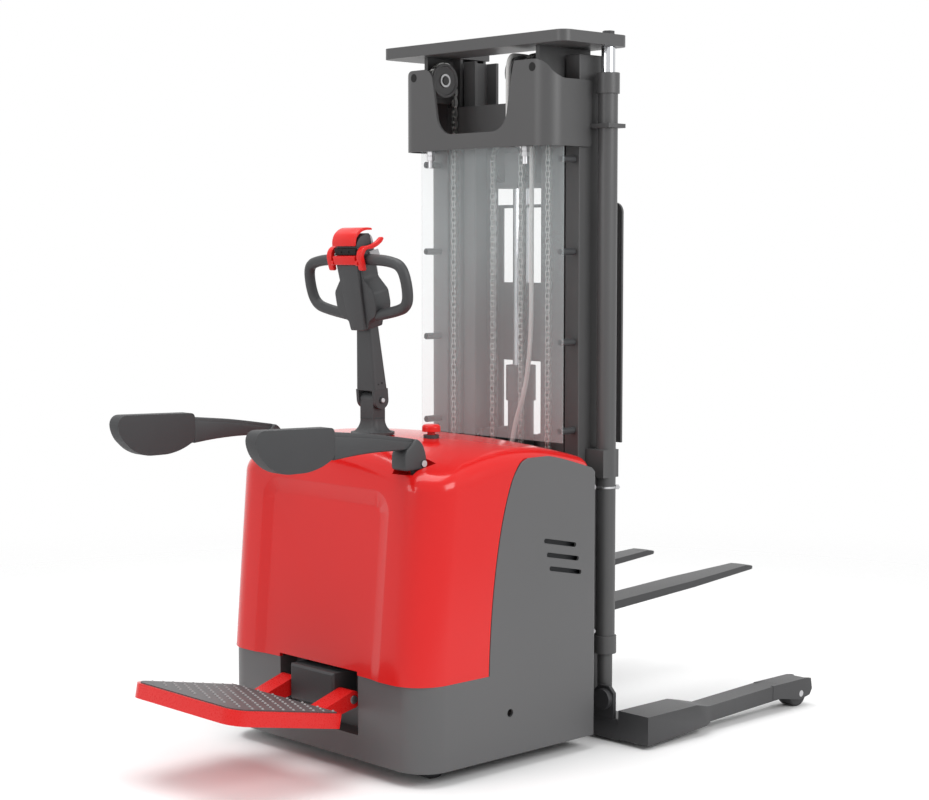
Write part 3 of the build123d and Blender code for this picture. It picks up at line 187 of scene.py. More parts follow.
def roundEdges(obj, width, angle):
    before = shownBox(obj)
    edges = obj.modifiers.new("edges", "BEVEL")
    edges.segments = rounding["segments"]
    edges.limit_method = "ANGLE"
    edges.angle_limit = math.radians(angle)
    edges.harden_normals = True
    for share in (1, 0.5, 0.25):  # a narrower rounding where a thin face would throw a spike
        edges.width = width * share
        if all(now > then - rounding["slack"] for now, then in zip(shownBox(obj), before)):
            return
    obj.modifiers.remove(edges)
    print("edges left sharp:", obj.name)


def addPiece(name, bm, slotName, body, replaced=(), bevel=0.0, angle=30, mat=None):
    softEdges(bm, angle)
    mesh = bpy.data.meshes.new(name)
    bm.to_mesh(mesh)
    bm.free()
    obj = addObject(name, mesh)
    mesh.materials.append(mat or finishes[slotName])
    if bevel:
        roundEdges(obj, bevel, angle)
    if body:
        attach(obj, body)
    if replaced:
        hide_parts(*replaced)
    return obj


slotOf = {entry["node"]: entry["material_slot"] for entry in frame["record"]["subparts"]}
copied = {"weld": 2e-5, "flat": 0.4}  # points nearer than this are one, faces within these degrees too


def nodeMesh(name):
    bm = bmesh.new()
    bm.from_mesh(nodes[name].data)
    bmesh.ops.remove_doubles(bm, verts=bm.verts[:], dist=copied["weld"])
    flat = math.radians(copied["flat"])
    bmesh.ops.dissolve_limit(bm, angle_limit=flat, verts=bm.verts[:], edges=bm.edges[:])
    return bm


edgeWidths = {  # metres of rounding on the copied shapes that don't have the usual one
    "chassis_frame": 0.0025, "platform_bracket": 0.003, "platform_tray": 0.004, "mast_base": 0.002,
    "straddle_leg_left": 0.003, "straddle_leg_right": 0.003, "outer_rails": 0.0025, "middle_frame": 0.002,
    "inner_frame": 0.002, "lift_cylinders": 0.002, "forks": 0.003, "backrest": 0.0015,
    "carriage_frame": 0.002, "tiller_arm": 0.003, "stop_button": 0.001, "guard_panel": 0.0006,
}
madeByHand = {
    "mast_chains_rear", "mast_chains_front", "free_chains_rear", "free_chains_front", "platform_mat",
    "arm_pad_left", "arm_pad_right", "side_arm_left", "side_arm_right", "outer_crosshead", "tiller_head",
    "tiller_cap", "throttle_levers", "mast_pulleys", "yoke_pulleys", "lift_hose", "hood", "lift_rods",
    "tiller_loops",
}
for nodeName in sorted(nodes):
    if nodeName not in madeByHand:
        edgeWidth = edgeWidths.get(nodeName, rounding["usual"])
        addPiece(nodeName + "Skin", nodeMesh(nodeName), slotOf[nodeName], nodes[nodeName]["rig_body"],
                 (nodeName,), edgeWidth)
print("copied shapes done")


# hood: the knee recess gets a wide soft flank

knee = {
    "run": 53, "rise": 632, "footX": -15, "footZ": 274,  # lean and foot of the hood's rear face, in mm
    "half": 0.275, "top": 0.80, "wallLow": 0.29, "rimLow": 0.276,  # where its walls and rims are, in metres
    "shallow": -0.001, "middle": 0.006, "deep": 0.0135,  # depths from the face
    "upright": 0.2,  # a wall's normal leans into the hood by less than this
    "flank": 0.036, "raised": 0.005, "edge": 0.006,
}


def hoodShell():
    bm = nodeMesh("hood")
    bm.normal_update()
    lean = math.atan2(knee["run"], knee["rise"])
    inward = Vector((math.cos(lean), 0, -math.sin(lean)))
    foot = mm(knee["footX"], 0, knee["footZ"])

    def depth(vert):
        return (vert.co - foot).dot(inward)

    def inKnee(vert):
        inside = abs(vert.co.y) < knee["half"] and vert.co.z < knee["top"]
        return inside and knee["shallow"] < depth(vert) < knee["deep"]

    def isWall(face):
        upright = abs(face.normal.dot(inward)) < knee["upright"]
        return upright and all(map(inKnee, face.verts)) and face.calc_center_median().z > knee["wallLow"]

    walls = [f for f in bm.faces if isWall(f)]
    pushes = {}
    for face in walls:
        for vert in face.verts:
            if depth(vert) > knee["middle"]:
                pushes[vert] = pushes.get(vert, Vector()) + face.normal
    for vert, push in pushes.items():
        vert.co += push.normalized() * knee["flank"] - inward * knee["raised"]

    def isRim(edge):
        atBorder = sum(f in walls for f in edge.link_faces) == 1
        return atBorder and max(v.co.z for v in edge.verts) > knee["rimLow"]

    rims = [e for e in bm.edges if isRim(e)]
    bmesh.ops.bevel(bm, geom=rims, offset=knee["edge"], segments=2, affect="EDGES", profile=0.5, material=-1,
                    clamp_overlap=True)
    addPiece("hoodSkin", bm, slotOf["hood"], nodes["hood"]["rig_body"], ("hood",))
    print("hood walls softened:", len(walls))


hoodShell()


# lift rods: chromed below the top plate, dark bolts above it

topPlateZ = 2.0385


def liftRods():
    for name, slotName, high in (("liftRods", "chrome_rod", False), ("rodBolts", "iron", True)):
        bm = nodeMesh("lift_rods")
        spare = [v for v in bm.verts if (v.co.z > topPlateZ) != high]
        bmesh.ops.delete(bm, geom=spare, context="VERTS")
        addPiece(name, bm, slotName, nodes["lift_rods"]["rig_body"], ("lift_rods",), rounding["usual"])


liftRods()


# shapes drawn as an outline and given a thickness

def roundedFace(bm, corners):
    # corners are (point, radius); a radius of 0 stays sharp
    ring = [bm.verts.new(point) for point, radius in corners]
    bm.faces.new(ring)
    for vert, (point, radius) in zip(ring, corners):
        if radius:
            bmesh.ops.bevel(bm, geom=[vert], offset=radius, segments=6, affect="VERTICES", profile=0.5,
                            material=-1)
    return bm.faces[:]


def pushFaces(bm, faces, vec):
    grown = bmesh.ops.extrude_face_region(bm, geom=faces)["geom"]
    bmesh.ops.translate(bm, vec=vec, verts=[g for g in grown if isinstance(g, bmesh.types.BMVert)])


def slab(corners, vec):
    bm = bmesh.new()
    pushFaces(bm, roundedFace(bm, corners), vec)
    bmesh.ops.recalc_face_normals(bm, faces=bm.faces[:])
    return bm


def sideways(outline, yLow, yHigh, place=metres):
    # an outline in x and z, drawn across from yLow to yHigh, in mm
    corners = [(place(x, yLow, z), r / 1000) for x, z, r in outline]
    return slab(corners, (0, (yHigh - yLow) / 1000, 0))


def facing(outline, xLow, xHigh):
    # mirror-symmetric outline in y and z, given as its right half from the bottom up
    ring = outline + [(-y, z, r) for y, z, r in reversed(outline)]
    corners = [(metres(xLow, y, z), r / 1000) for y, z, r in ring]
    return slab(corners, ((xHigh - xLow) / 1000, 0, 0))


def rod(bm, place, radius, depth, segments, tip=None):
    # a round piece along the z axis of its place
    bmesh.ops.create_cone(bm, segments=segments, radius1=radius, radius2=tip or radius, depth=depth,
                          cap_ends=True, matrix=place)


def join(bm, other):
    mesh = bpy.data.meshes.new("joined")
    other.to_mesh(mesh)
    other.free()
    bm.from_mesh(mesh)
    bpy.data.meshes.remove(mesh)


def rollEdges(bm, offset, segments=3, angle=40, wanted=lambda edge: True):
    limit = math.radians(angle)
    sharp = [e for e in bm.edges if len(e.link_faces) == 2 and e.calc_face_angle(0) > limit and wanted(e)]
    bmesh.ops.bevel(bm, geom=sharp, offset=offset, segments=segments, affect="EDGES", profile=0.5,
                    material=-1, clamp_overlap=True)
    return bm


def everything(bm):
    return bm.verts[:] + bm.edges[:] + bm.faces[:]


# side arms: a beam with a pressed channel, and the boot that stands in the hood

arm = {
    "y": 305,
    "ridge": [(-208, 961, 0), (-208, 888, 0), (-100, 899, 60), (40, 897, 8), (72, 897, 0), (72, 925, 0),
              (-60, 946, 40)],
    "ridgeHalf": 19,
    "flank": [(-207, 951, 0), (-207, 890, 0), (-100, 901, 60), (40, 899, 8), (71, 899, 0), (71, 916, 0),
              (-60, 936, 40)],
    "flankHalf": 22,
    "boot": [(106, 842, 9), (106, 880, 12), (92, 915, 14), (72, 926, 6), (29, 890, 12), (29, 842, 10)],
    "cheeks": [(-28, -10), (10, 28)],  # beside the lug
    "lugHalf": 10,
    "lugSlot": (57, 896),  # the boot is open in front of this x and under this z
    "edge": 0.004, "flankEdge": 0.003, "sharp": 50,  # roundings in metres, from this angle in degrees on
    "outside": 0.02,  # the boot's edges are rounded this far from the arm's middle
}


def keepBehind(bm, point, normal):
    bmesh.ops.bisect_plane(bm, geom=everything(bm), plane_co=point, plane_no=normal, clear_outer=True)
    bmesh.ops.holes_fill(bm, edges=bm.edges[:], sides=0)


def sideArm(side):
    y = side * arm["y"]

    def across(outline, low, high):
        return sideways(arm[outline], y + low, y + high, mm)

    def onOutside(edge):
        return all(abs(v.co.y - y / 1000) > arm["outside"] for v in edge.verts)

    bm = across("ridge", -arm["ridgeHalf"], arm["ridgeHalf"])
    rollEdges(bm, arm["edge"], 3, arm["sharp"])
    flank = across("flank", -arm["flankHalf"], arm["flankHalf"])
    join(bm, rollEdges(flank, arm["flankEdge"], 3, arm["sharp"]))
    for low, high in arm["cheeks"]:
        join(bm, rollEdges(across("boot", low, high), arm["edge"], 3, arm["sharp"], onOutside))
    slot = mm(arm["lugSlot"][0], y, arm["lugSlot"][1])
    behind = across("boot", -arm["lugHalf"], arm["lugHalf"])
    keepBehind(behind, slot, (1, 0, 0))
    join(bm, behind)
    above = across("boot", -arm["lugHalf"], arm["lugHalf"])
    keepBehind(above, slot, (-1, 0, 0))
    keepBehind(above, slot, (0, 0, -1))
    join(bm, above)
    name = "left" if side > 0 else "right"
    addPiece("sideArm" + name.title(), bm, "charcoal_plastic", "arm_" + name, ("side_arm_" + name,), angle=40)


sideArm(1)
sideArm(-1)
print("arms done")


# crosshead: flat plate with its cut, bent round the mast

crosshead = {
    "rear": 587, "thick": 8, "bend": 60, "half": 313, "end": 770, "low": 1722, "lowRound": 14,
    "upper": [(140, 1768, 52), (166, 1930, 60), (178, 1965, 26), (288, 1965, 30), (326, 1912, 34)],
    "endTop": 1912, "endRound": 10, "bendSteps": 16,
    "shelves": [(-200, 36), (200, 36), (-130, 28)],  # y and width, for the chain anchors and the hose
    "shelfX": 610, "shelfZ": 1728, "shelfDeep": 30, "shelfThick": 12,
    "eyeX": 591, "eyeY": 250, "eyeZ": 1943, "eye": 0.0125, "eyeDeep": 0.009,
}
crossheadFlat = crosshead["half"] - crosshead["bend"]
crossheadArc = crosshead["bend"] * math.pi / 2


def bentPoint(s, depth, z):
    # s runs along the plate from its middle, depth into its thickness
    sign = 1 if s >= 0 else -1
    s = abs(s)
    radius = crosshead["bend"] - depth
    centreX = crosshead["rear"] + crosshead["bend"]
    if s <= crossheadFlat:
        return mm(crosshead["rear"] + depth, sign * s, z)
    if s <= crossheadFlat + crossheadArc:
        turn = (s - crossheadFlat) / crosshead["bend"]
        return mm(centreX - radius * math.cos(turn), sign * (crossheadFlat + radius * math.sin(turn)), z)
    return mm(centreX + s - crossheadFlat - crossheadArc, sign * (crosshead["half"] - depth), z)


def crossheadPlate():
    end = crossheadFlat + crossheadArc + crosshead["end"] - crosshead["rear"] - crosshead["bend"]
    half = [*crosshead["upper"], (end, crosshead["endTop"], crosshead["endRound"]),
            (end, crosshead["low"], crosshead["lowRound"])]
    outline = [(-s, z, r) for s, z, r in reversed(half)] + half
    corners = [(metres(s, 0, z), r / 1000) for s, z, r in reversed(outline)]
    bm = slab(corners, (0, crosshead["thick"] / 1000, 0))
    for step in range(crosshead["bendSteps"] + 1):
        for sign in (-1, 1):
            cut = sign * (crossheadFlat + crossheadArc * step / crosshead["bendSteps"]) / 1000
            bmesh.ops.bisect_plane(bm, geom=everything(bm), plane_co=(cut, 0, 0), plane_no=(1, 0, 0))
    for vert in bm.verts:
        vert.co = bentPoint(*(vert.co * 1000))
    bmesh.ops.recalc_face_normals(bm, faces=bm.faces[:])
    for y, width in crosshead["shelves"]:
        size = Matrix.Diagonal((*metres(crosshead["shelfDeep"], width, crosshead["shelfThick"]), 1))
        shelf = bmesh.new()
        spot = Matrix.Translation(mm(crosshead["shelfX"], y, crosshead["shelfZ"]))
        bmesh.ops.create_cube(shelf, size=1, matrix=spot @ size)
        join(bm, shelf)
    addPiece("crosshead", bm, "mast_paint", "truck", ("outer_crosshead",), rounding["usual"], angle=35)
    # near-black discs painted as the shade inside the plate's two eye holes
    eyeShade = bmesh.new()
    for side in (-1, 1):
        spot = Matrix.Translation(mm(crosshead["eyeX"], side * crosshead["eyeY"], crosshead["eyeZ"]))
        rod(eyeShade, spot @ turnBy(90, "Y"), crosshead["eye"], crosshead["eyeDeep"], 28)
    addPiece("crossheadEyeShade", eyeShade, "iron", "truck", mat=holeShadeAndBlackBand)


crossheadPlate()
print("crosshead done")


# tiller head in its own frame: -x faces the driver, z runs up the head

head = {
    "pin": (203, 0, 1005), "armLean": -5, "armLong": 0.214, "lean": -7,  # up the arm from its pin
    "edges": {"body": 0.006, "spine": 0.004, "redBand": 0.003, "blackBand": 0.002, "crown": 0.004,
              "greyBack": 0.002, "cap": 0.0025, "lever": 0.004, "horn": 0.004},
    "body": [(33, -9, 5), (44, 14, 8), (76, 30, 6), (85, 60, 6), (84, 98, 7), (50, 136, 8), (48, 224, 4)],
    "bodyX": (-30, 28),
    "spine": [(30, -10, 4), (36, 40, 20), (42, 130, 20), (45, 179, 4)],
    "spineX": (-39, -20),
    "redBand": [(45, 179, 3), (47, 204, 3)],
    "redBandX": (-46, -24),
    "blackBand": [(44, 205, 2), (46, 224, 5)],
    "blackBandX": (-37, -24),
    "keyX": -0.0380, "keyY": 0.016, "keyZ": 0.2145, "key": 0.0032, "keyTip": 0.0026, "keyHigh": 0.003,
    "crown": [(-29, 216, 2), (-29, 230, 6), (-17, 248, 12), (4, 256, 10), (26, 255, 4), (26, 216, 2)],
    "crownY": (-43, 43),
    "greyBack": [(26, 132, 2), (33, 138, 3), (33, 242, 6), (26, 252, 2)],
    "greyBackY": (-44, 44),
    "cap": [(-40, 231, 2), (-36, 254, 14), (-16, 270, 14), (8, 275, 12), (34, 268, 4), (34, 262, 2),
            (8, 267, 10), (-13, 262, 12), (-29, 249, 12), (-33, 231, 2)],
    "capY": (-47, 47),
    "lever": [(-45, 178, 8), (-43, 162, 5), (-31, 162, 5), (-31, 182, 3), (-33, 202, 4), (-22, 216, 4),
              (-14, 217, 2), (-14, 227, 2), (-24, 227, 5), (-38, 220, 9), (-46, 202, 8)],
    "leverY": (54, 74),
    "horn": [(-36, 208, 3), (-20, 218, 4), (4, 215.5, 5), (24, 219, 6), (42, 227, 4), (50, 236, 4),
             (42, 242, 5), (24, 232, 6), (4, 227, 5), (-20, 226.5, 8), (-38, 219, 5)],
    "hornY": (62, 73.5),  # passes outside the rocker
    "stubX": -0.040, "stubY": 0.0515, "stubZ": 0.184, "stub": 0.008, "stubLong": 0.010,
    "loop": [(44, 188), (86, 188), (150, 184), (200, 170), (209, 112), (198, 60), (150, 42), (66, 30)],
    "loopX": -12,  # the grip's line is drawn in y and z at this x
    "grip": 0.0155,
}
headFrame = (Matrix.Translation(mm(*head["pin"])) @ turnBy(head["armLean"], "Y")
             @ Matrix.Translation((0, 0, head["armLong"])) @ turnBy(head["lean"], "Y"))


def headFront(part, segments=3):
    return rollEdges(facing(head[part], *head[part + "X"]), head["edges"][part], segments)


def headSide(part, side=1, segments=3):
    low, high = sorted(side * y for y in head[part + "Y"])
    return rollEdges(sideways(head[part], low, high), head["edges"][part], segments)


def headPiece(name, bm, slotName, body, replaced=(), angle=30, mat=None):
    bmesh.ops.transform(bm, matrix=headFrame, verts=bm.verts[:])
    return addPiece(name, bm, slotName, body, replaced, angle=angle, mat=mat)


def tillerHead():
    bm = headFront("body")
    join(bm, headFront("spine"))
    join(bm, headSide("crown"))
    headPiece("tillerHead", bm, "charcoal_plastic", "tiller", ("tiller_head",))
    headPiece("headGreyBack", headSide("greyBack", segments=2), "grey_plastic", "tiller")
    headPiece("headRedBand", headFront("redBand"), "red_button", "tiller")
    black = headFront("blackBand", 2)
    for side in (-1, 1):  # two small round keys
        spot = Matrix.Translation((head["keyX"], side * head["keyY"], head["keyZ"]))
        rod(black, spot @ turnBy(-90, "Y"), head["key"], head["keyHigh"], 16, head["keyTip"])
    headPiece("headBlackBand", black, "charcoal_plastic", "tiller", mat=holeShadeAndBlackBand)
    headPiece("tillerCap", headSide("cap"), "red_button", "reverse_cap", ("tiller_cap",))
    levers = bmesh.new()
    for side in (-1, 1):
        join(levers, headSide("lever", side, 4))
        join(levers, headSide("horn", side, 4))
        spot = Matrix.Translation((head["stubX"], side * head["stubY"], head["stubZ"]))
        stub = bmesh.new()
        rod(stub, spot @ turnBy(90, "X"), head["stub"], head["stubLong"], 24)
        join(levers, stub)
    headPiece("throttleLevers", levers, "red_button", "throttle", ("throttle_levers",))


tillerHead()


def smoothTube(name, points, radius):
    # a round tube along one smooth line through the given control points
    curve = bpy.data.curves.new(name, "CURVE")
    curve.dimensions = "3D"
    curve.bevel_depth = radius
    curve.bevel_resolution = 5
    curve.resolution_u = 10
    curve.use_fill_caps = True
    line = curve.splines.new("NURBS")
    line.points.add(len(points) - 1)
    for point, place in zip(line.points, points):
        point.co = (*place, 1)
    line.order_u = 3
    line.use_endpoint_u = True
    tube = addObject(name + "Line", curve)
    bpy.context.view_layer.update()
    mesh = bpy.data.meshes.new_from_object(tube.evaluated_get(bpy.context.evaluated_depsgraph_get()))
    bpy.data.objects.remove(tube)
    bm = bmesh.new()
    bm.from_mesh(mesh)
    bpy.data.meshes.remove(mesh)
    return bm


def gripLoops():
    bm = bmesh.new()
    for side in (-1, 1):
        line = [metres(head["loopX"], side * y, z) for y, z in head["loop"]]
        join(bm, smoothTube("grip", line, head["grip"]))
    headPiece("gripLoops", bm, "charcoal_plastic", "tiller", ("tiller_loops",), angle=60)


gripLoops()


# pin ends on both sides of the tiller's foot, and near-black discs painted as the shade inside its screw
# holes

tillerFoot = {
    "pinY": 45, "pinRadius": 6.5, "pinThick": 3,
    "holes": [(191, 38.2, 1049), (204, 38.2, 1053)], "holeRadius": 3, "holeThick": 2,
}


def disc(bm, x, y, z, radius, depth):
    rod(bm, Matrix.Translation(mm(x, y, z)) @ turnBy(90, "X"), radius / 1000, depth / 1000, 24)


def tillerBolts():
    pins = bmesh.new()
    holes = bmesh.new()
    pinX, _, pinZ = head["pin"]
    for side in (-1, 1):
        disc(pins, pinX, side * tillerFoot["pinY"], pinZ, tillerFoot["pinRadius"], tillerFoot["pinThick"])
        for x, y, z in tillerFoot["holes"]:
            disc(holes, x, side * y, z, tillerFoot["holeRadius"], tillerFoot["holeThick"])
    addPiece("tillerPinEnds", pins, "bright_steel", "drive_unit", bevel=rounding["small"])
    # the screw hole discs are near-black, painted shade
    addPiece("tillerScrewHoleShade", holes, "iron", "tiller", mat=holeShadeAndBlackBand)


tillerBolts()
print("tiller done")


# pulleys: turned discs with a hub

pulley = {
    "mastX": 660, "mastZ": 1936, "mastPitch": 49, "chainY": 200, "hoseY": -130,
    "yokeX": 797, "yokeZ": 1692, "yokePitch": 59, "yokeY": 60,
    "ringIn": 14, "ringOut": 20, "ringNear": 11, "ringFar": 13,  # bright retaining rings
}


def turned(profile, x, y, z):
    # profile of (radius, offset along y) in mm, spun about the y axis through x, y, z
    bm = bmesh.new()
    ring = [bm.verts.new(metres(r, w, 0)) for r, w in profile]
    edges = [bm.edges.new((a, b)) for a, b in zip(ring, ring[1:])]
    bmesh.ops.spin(bm, geom=ring + edges, cent=(0, 0, 0), axis=(0, 1, 0), angle=math.tau, steps=48,
                   use_merge=True)
    bmesh.ops.remove_doubles(bm, verts=bm.verts[:], dist=1e-6)
    bmesh.ops.recalc_face_normals(bm, faces=bm.faces[:])
    bmesh.ops.translate(bm, vec=mm(x, y, z), verts=bm.verts[:])
    return bm


def pulleyWheel(x, y, z, pitch, bore, half, groove):
    rim = pitch + 2
    seat = pitch - 6.4
    web = half - 4  # the web between hub and rim is set back
    side = [(bore, web), (bore + 8, half - 1), (bore + 9, web), (rim - 9, web), (rim - 7, half), (rim, half),
            (rim, groove), (seat, groove)]
    return turned([(r, -w) for r, w in side] + side[::-1] + [(bore, -web)], x, y, z)


def pulleys():
    mastX, mastZ = pulley["mastX"], pulley["mastZ"]
    bm = bmesh.new()
    rings = bmesh.new()
    for side in (-1, 1):
        y = side * pulley["chainY"]
        join(bm, pulleyWheel(mastX, y, mastZ, pulley["mastPitch"], bore=12, half=13, groove=10))
        for face in (-1, 1):
            low, high = sorted(y + face * pulley[end] for end in ("ringNear", "ringFar"))
            inner, outer = pulley["ringIn"], pulley["ringOut"]
            ring = [(inner, low), (outer, low), (outer, high), (inner, high), (inner, low)]
            join(rings, turned(ring, mastX, 0, mastZ))
    join(bm, pulleyWheel(mastX, pulley["hoseY"], mastZ, pulley["mastPitch"], bore=10, half=12, groove=8))
    addPiece("mastPulleys", bm, "bright_steel", "chain_wheels", ("mast_pulleys",), angle=35, mat=wheelGrey)
    addPiece("mastPulleyRings", rings, "bright_steel", "chain_wheels", angle=35)
    yokeX, yokeZ = pulley["yokeX"], pulley["yokeZ"]
    bm = bmesh.new()
    for side in (-1, 1):
        y = side * pulley["yokeY"]
        join(bm, pulleyWheel(yokeX, y, yokeZ, pulley["yokePitch"], bore=14, half=13, groove=10))
    iron = finishes["iron"]
    addPiece("yokePulleys", bm, "bright_steel", "ram_wheels", ("yoke_pulleys",), angle=35, mat=iron)


pulleys()
print("pulleys done")


# bright clamp rings and bolts on the lift cylinders

fittings = {
    "ring": (797, 350, 737), "ringRadius": 0.0297, "ringHigh": 0.006,
    "bolts": [(772, 327, 737), (822, 373, 737), (772, 327, 312)], "boltRadius": 0.0075, "boltLong": 0.012,
}


def cylinderFittings():
    bm = bmesh.new()
    for side in (-1, 1):
        x, y, z = fittings["ring"]
        rod(bm, Matrix.Translation(mm(x, side * y, z)), fittings["ringRadius"], fittings["ringHigh"], 40)
        turn = turnBy(-45 * side, "Z") @ turnBy(90, "Y")
        for x, y, z in fittings["bolts"]:
            spot = Matrix.Translation(mm(x, side * y, z))
            rod(bm, spot @ turn, fittings["boltRadius"], fittings["boltLong"], 6)
    addPiece("cylinderFittings", bm, "bright_steel", "truck", bevel=rounding["small"])


cylinderFittings()


# lift hose: over its pulley, then down to the port of the free lift cylinder

hose = {
    "radius": 0.007,
    "rear": [(611, -130, 1734), (611, -130, 1834), (611, -130, 1936)],
    "front": [(611, -130, 1936), (611, -130, 1985), (660, -130, 1987), (709, -130, 1985), (709, -130, 1936),
              (709, -130, 1500), (709, -130, 1060), (717, -30, 860), (719, -6, 420), (721, 0, 300),
              (757, 0, 300)],
}


def hosePiece(name, run):
    bm = smoothTube(name, [mm(*place) for place in hose[run]], hose["radius"])
    return addPiece(name, bm, "hose_white", None, ("lift_hose",), angle=60)


hoseRear = hosePiece("liftHoseRear", "rear")
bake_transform(hoseRear)
hoseFront = hosePiece("liftHoseFront", "front")
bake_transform(hoseFront)
print("hose done")


# chains

chain = {
    "pitch": 0.016, "width": 0.0175, "depth": 0.0112, "plate": 0.0026, "pin": 0.0031,
    "linkLong": 1.75, "inset": 1.3,  # a link's length in pitches, an inner plate's place in plates
    "pinOver": 0.0004,
}


def linkMesh(outer):
    bm = bmesh.new()
    plate = chain["plate"]
    reach = chain["width"] / 2 - plate / 2 - (0 if outer else plate * chain["inset"])
    size = Matrix.Diagonal((chain["depth"], chain["pitch"] * chain["linkLong"], 1, 1))
    for y in (reach, -reach):
        ring = bmesh.ops.create_circle(bm, segments=8, radius=0.5, cap_ends=True)["verts"]
        spot = Matrix.Translation((0, y - plate / 2, 0)) @ turnBy(-90, "X")
        bmesh.ops.transform(bm, matrix=spot @ size, verts=ring)
        pushFaces(bm, list({f for v in ring for f in v.link_faces}), (0, plate, 0))
    if outer:
        for z in (-chain["pitch"] / 2, chain["pitch"] / 2):
            spot = Matrix.Translation((0, 0, z)) @ turnBy(90, "X")
            rod(bm, spot, chain["pin"], chain["width"] + chain["pinOver"], 8)
    bmesh.ops.recalc_face_normals(bm, faces=bm.faces[:])
    mesh = bpy.data.meshes.new("link")
    bm.to_mesh(mesh)
    bm.free()
    return mesh


links = (linkMesh(True), linkMesh(False))


def stamp(bm, mesh, place):
    before = len(bm.verts)
    bm.from_mesh(mesh)
    bm.verts.ensure_lookup_table()
    bmesh.ops.transform(bm, matrix=place, verts=bm.verts[before:])


def chainRun(bm, x, y, low, high, overX=None):
    # straight run, then the half turn over a pulley whose centre is overX
    radius = abs(overX - x) if overX is not None else 0
    length = (high - low) + math.pi * radius
    count = int(length / chain["pitch"])
    for index in range(count):
        s = (index + 0.5) * length / count
        if s <= high - low:
            place = Matrix.Translation((x, y, low + s))
        else:
            angle = (s - (high - low)) / radius
            side = 1 if x > overX else -1
            spot = (overX + side * radius * math.cos(angle), y, high + radius * math.sin(angle))
            place = Matrix.Translation(spot) @ Matrix.Rotation(-side * angle, 4, "Y")
        stamp(bm, links[index % 2], place)


def chainPair(name, node, x, y, low, high, overX=None):
    bm = bmesh.new()
    centre = None if overX is None else mm(overX, 0, 0).x
    for side in (-1, 1):
        chainRun(bm, mm(x, 0, 0).x, side * y / 1000, low / 1000, high / 1000, centre)
    obj = addPiece(name, bm, "chain_steel", None, (node,))
    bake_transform(obj)


chainPair("mastChainRear", "mast_chains_rear",
          x=611, y=200, low=1734, high=1936)
chainPair("mastChainFront", "mast_chains_front",
          x=709, y=200, low=186, high=1936, overX=660)
chainPair("freeChainRear", "free_chains_rear",
          x=738, y=60, low=222, high=1692)
chainPair("freeChainFront", "free_chains_front",
          x=856, y=60, low=860, high=1692, overX=797)
print("chains done")


# arm pads

pad = {
    "half": 22, "edge": 0.011,
    "outline": [(-206, 896, 10), (-206, 973, 12), (-457, 980, 26), (-458, 926, 30), (-392, 864, 40),
                (-268, 864, 40)],
}


def armPad(name, node, side):
    middle = side * arm["y"]
    bm = sideways(pad["outline"], middle - pad["half"], middle + pad["half"], mm)
    rollEdges(bm, pad["edge"], 5, arm["sharp"])
    obj = addPiece(name, bm, "pad_foam", "arm_left" if side > 0 else "arm_right", (node,), angle=60)


armPad("armPadLeft", "arm_pad_left", 1)
armPad("armPadRight", "arm_pad_right", -1)
print("pads done")


# platform mat with staggered rows of studs; the studs get a lighter grey than the mat's rubber as painted
# sheen

rubberMat = {
    "stud": 0.0042, "studTip": 0.55, "height": 0.0034, "stepX": 0.0340, "stepY": 0.0326,
    "hinge": (-108, 0, 197), "tilt": 10.8, "top": 0.003,  # hinge in truck mm, tilt in degrees
    "length": 0.350, "half": 0.227, "margin": 0.010, "firstX": 0.006, "firstY": 0.004, "endGap": 0.024,
    "cornerFrom": 0.060, "cornerRun": 0.050, "cornerIn": 0.044,  # the two rounded far corners
}


def onMat(x, y):
    length = rubberMat["length"]
    corner = min(1, max(0, -x - (length - rubberMat["cornerFrom"])) / rubberMat["cornerRun"])
    inset = rubberMat["cornerIn"] * (1 - math.sqrt(1 - corner ** 2))
    return abs(y) <= rubberMat["half"] - rubberMat["margin"] - inset and -x <= length - rubberMat["endGap"]


def studMesh():
    bm = bmesh.new()
    tip = rubberMat["stud"] * rubberMat["studTip"]
    rod(bm, Matrix.Identity(4), rubberMat["stud"], rubberMat["height"], 8, tip)
    mesh = bpy.data.meshes.new("stud")
    bm.to_mesh(mesh)
    bm.free()
    return mesh


def platformMat():
    bm = bmesh.new()
    stud = studMesh()
    hinge = Matrix.Translation(mm(*rubberMat["hinge"])) @ turnBy(rubberMat["tilt"], "Y")
    margin = rubberMat["margin"]
    rows = int(2 * (rubberMat["half"] - margin) / rubberMat["stepY"]) + 1
    columns = int((rubberMat["length"] - 2 * margin) / rubberMat["stepX"])
    z = rubberMat["top"] + rubberMat["height"] / 2
    for row in range(rows):
        for column in range(columns):
            x = -margin - rubberMat["firstX"] - (column + row % 2 / 2) * rubberMat["stepX"]
            y = -rubberMat["half"] + margin + rubberMat["firstY"] + row * rubberMat["stepY"]
            if onMat(x, y):
                stamp(bm, stud, hinge @ Matrix.Translation((x, y, z)))
    addPiece("matStuds", bm, "mat_rubber", "platform", angle=25, mat=studSheenGrey)
    addPiece("platformMat", nodeMesh("platform_mat"), "mat_rubber", "platform", ("platform_mat",), angle=25)


platformMat()
print("mat done")


# white room, floor, lamps and camera

room = {"bounce": 0.62, "seen": 1.0, "floor": 9, "floorShade": 0.93, "fadeFrom": 1.6, "fadeTo": 4.5}


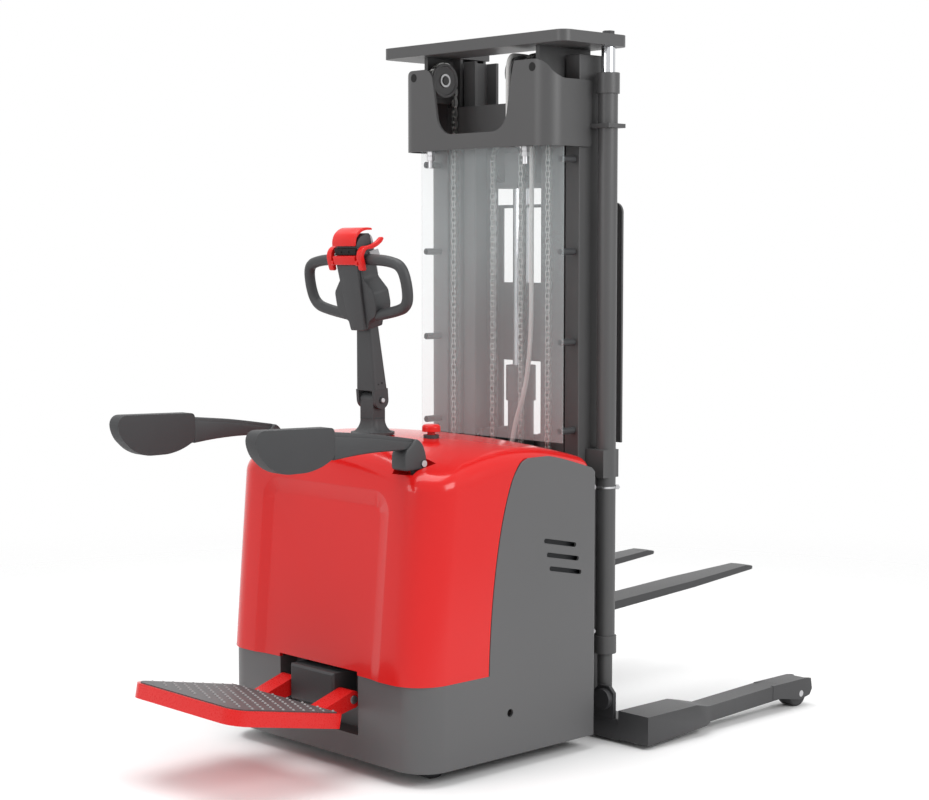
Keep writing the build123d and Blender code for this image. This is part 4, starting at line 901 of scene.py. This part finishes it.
def whiteRoom():
    world = bpy.data.worlds.new("studio")
    bpy.context.scene.world = world
    world.use_nodes = True
    tree = world.node_tree
    back = tree.nodes["Background"]
    path = tree.nodes.new("ShaderNodeLightPath")

    def either(first, second):
        larger = tree.nodes.new("ShaderNodeMath")
        larger.operation = "MAXIMUM"
        tree.links.new(first, larger.inputs[0])
        tree.links.new(second, larger.inputs[1])
        return larger.outputs[0]

    seen = either(path.outputs["Is Camera Ray"], path.outputs["Is Transmission Ray"])
    strength = tree.nodes.new("ShaderNodeMapRange")
    strength.inputs["To Min"].default_value = room["bounce"]
    strength.inputs["To Max"].default_value = room["seen"]
    tree.links.new(either(seen, path.outputs["Is Glossy Ray"]), strength.inputs["Value"])
    tree.links.new(strength.outputs["Result"], back.inputs["Strength"])
    back.inputs["Color"].default_value = (1, 1, 1, 1)


def paleFloor():
    bm = bmesh.new()
    bmesh.ops.create_circle(bm, segments=96, radius=room["floor"], cap_ends=True)
    mesh = bpy.data.meshes.new("floor")
    bm.to_mesh(mesh)
    bm.free()
    floor = addObject("floor", mesh)
    pale = bpy.data.materials.new("paleFloor")
    pale.use_nodes = True
    tree = pale.node_tree
    shader = tree.nodes["Principled BSDF"]
    shader.inputs["Base Color"].default_value = [room["floorShade"]] * 3 + [1]
    shader.inputs["Roughness"].default_value = 0.9
    shader.inputs["Specular IOR Level"].default_value = 0.1
    coords = tree.nodes.new("ShaderNodeTexCoord")
    far = tree.nodes.new("ShaderNodeVectorMath")
    far.operation = "LENGTH"
    tree.links.new(coords.outputs["Object"], far.inputs[0])
    fade = tree.nodes.new("ShaderNodeMapRange")  # the floor thins out away from the truck
    fade.inputs["From Min"].default_value = room["fadeFrom"]
    fade.inputs["From Max"].default_value = room["fadeTo"]
    fade.inputs["To Min"].default_value = 1.0
    fade.inputs["To Max"].default_value = 0.0
    fade.interpolation_type = "SMOOTHSTEP"
    tree.links.new(far.outputs["Value"], fade.inputs["Value"])
    tree.links.new(fade.outputs["Result"], shader.inputs["Alpha"])
    mesh.materials.append(pale)


def lamp(name, spot, target, size, watts):
    data = bpy.data.lights.new(name, "AREA")
    data.shape = "RECTANGLE"
    data.size, data.size_y = size
    data.energy = watts
    obj = addObject(name, data)
    obj.location = spot
    obj.rotation_euler = (Vector(target) - Vector(spot)).to_track_quat("-Z", "Y").to_euler()


whiteRoom()
paleFloor()
lamp("keySide", (0.6, -4.6, 3.0), (0, 0, 0.9), (2.6, 2.0), 120)
lamp("topSoft", (-0.52, 0.52, 5.74), (0, 0, 0.8), (4.16, 4.16), 203)  # hangs above the raised mast
lamp("rearFill", (-4.8, 0.8, 2.4), (0, 0, 0.8), (2.4, 2.0), 60)

photoView = {"lens": 73.643, "sensor": 36, "spot": (-3.879, -4.061, 1.425), "tilt": 85.495, "turn": -43.493}
cameraData = bpy.data.cameras.new("photoCamera")
cameraData.lens = photoView["lens"]
cameraData.sensor_width = photoView["sensor"]
cameraObject = addObject("photoCamera", cameraData)
cameraObject.location = photoView["spot"]
cameraObject.rotation_euler = (math.radians(photoView["tilt"]), 0, math.radians(photoView["turn"]))
bpy.context.scene.camera = cameraObject
bpy.context.scene.view_settings.view_transform = "Standard"
print("studio done")

bpy.context.view_layer.update()
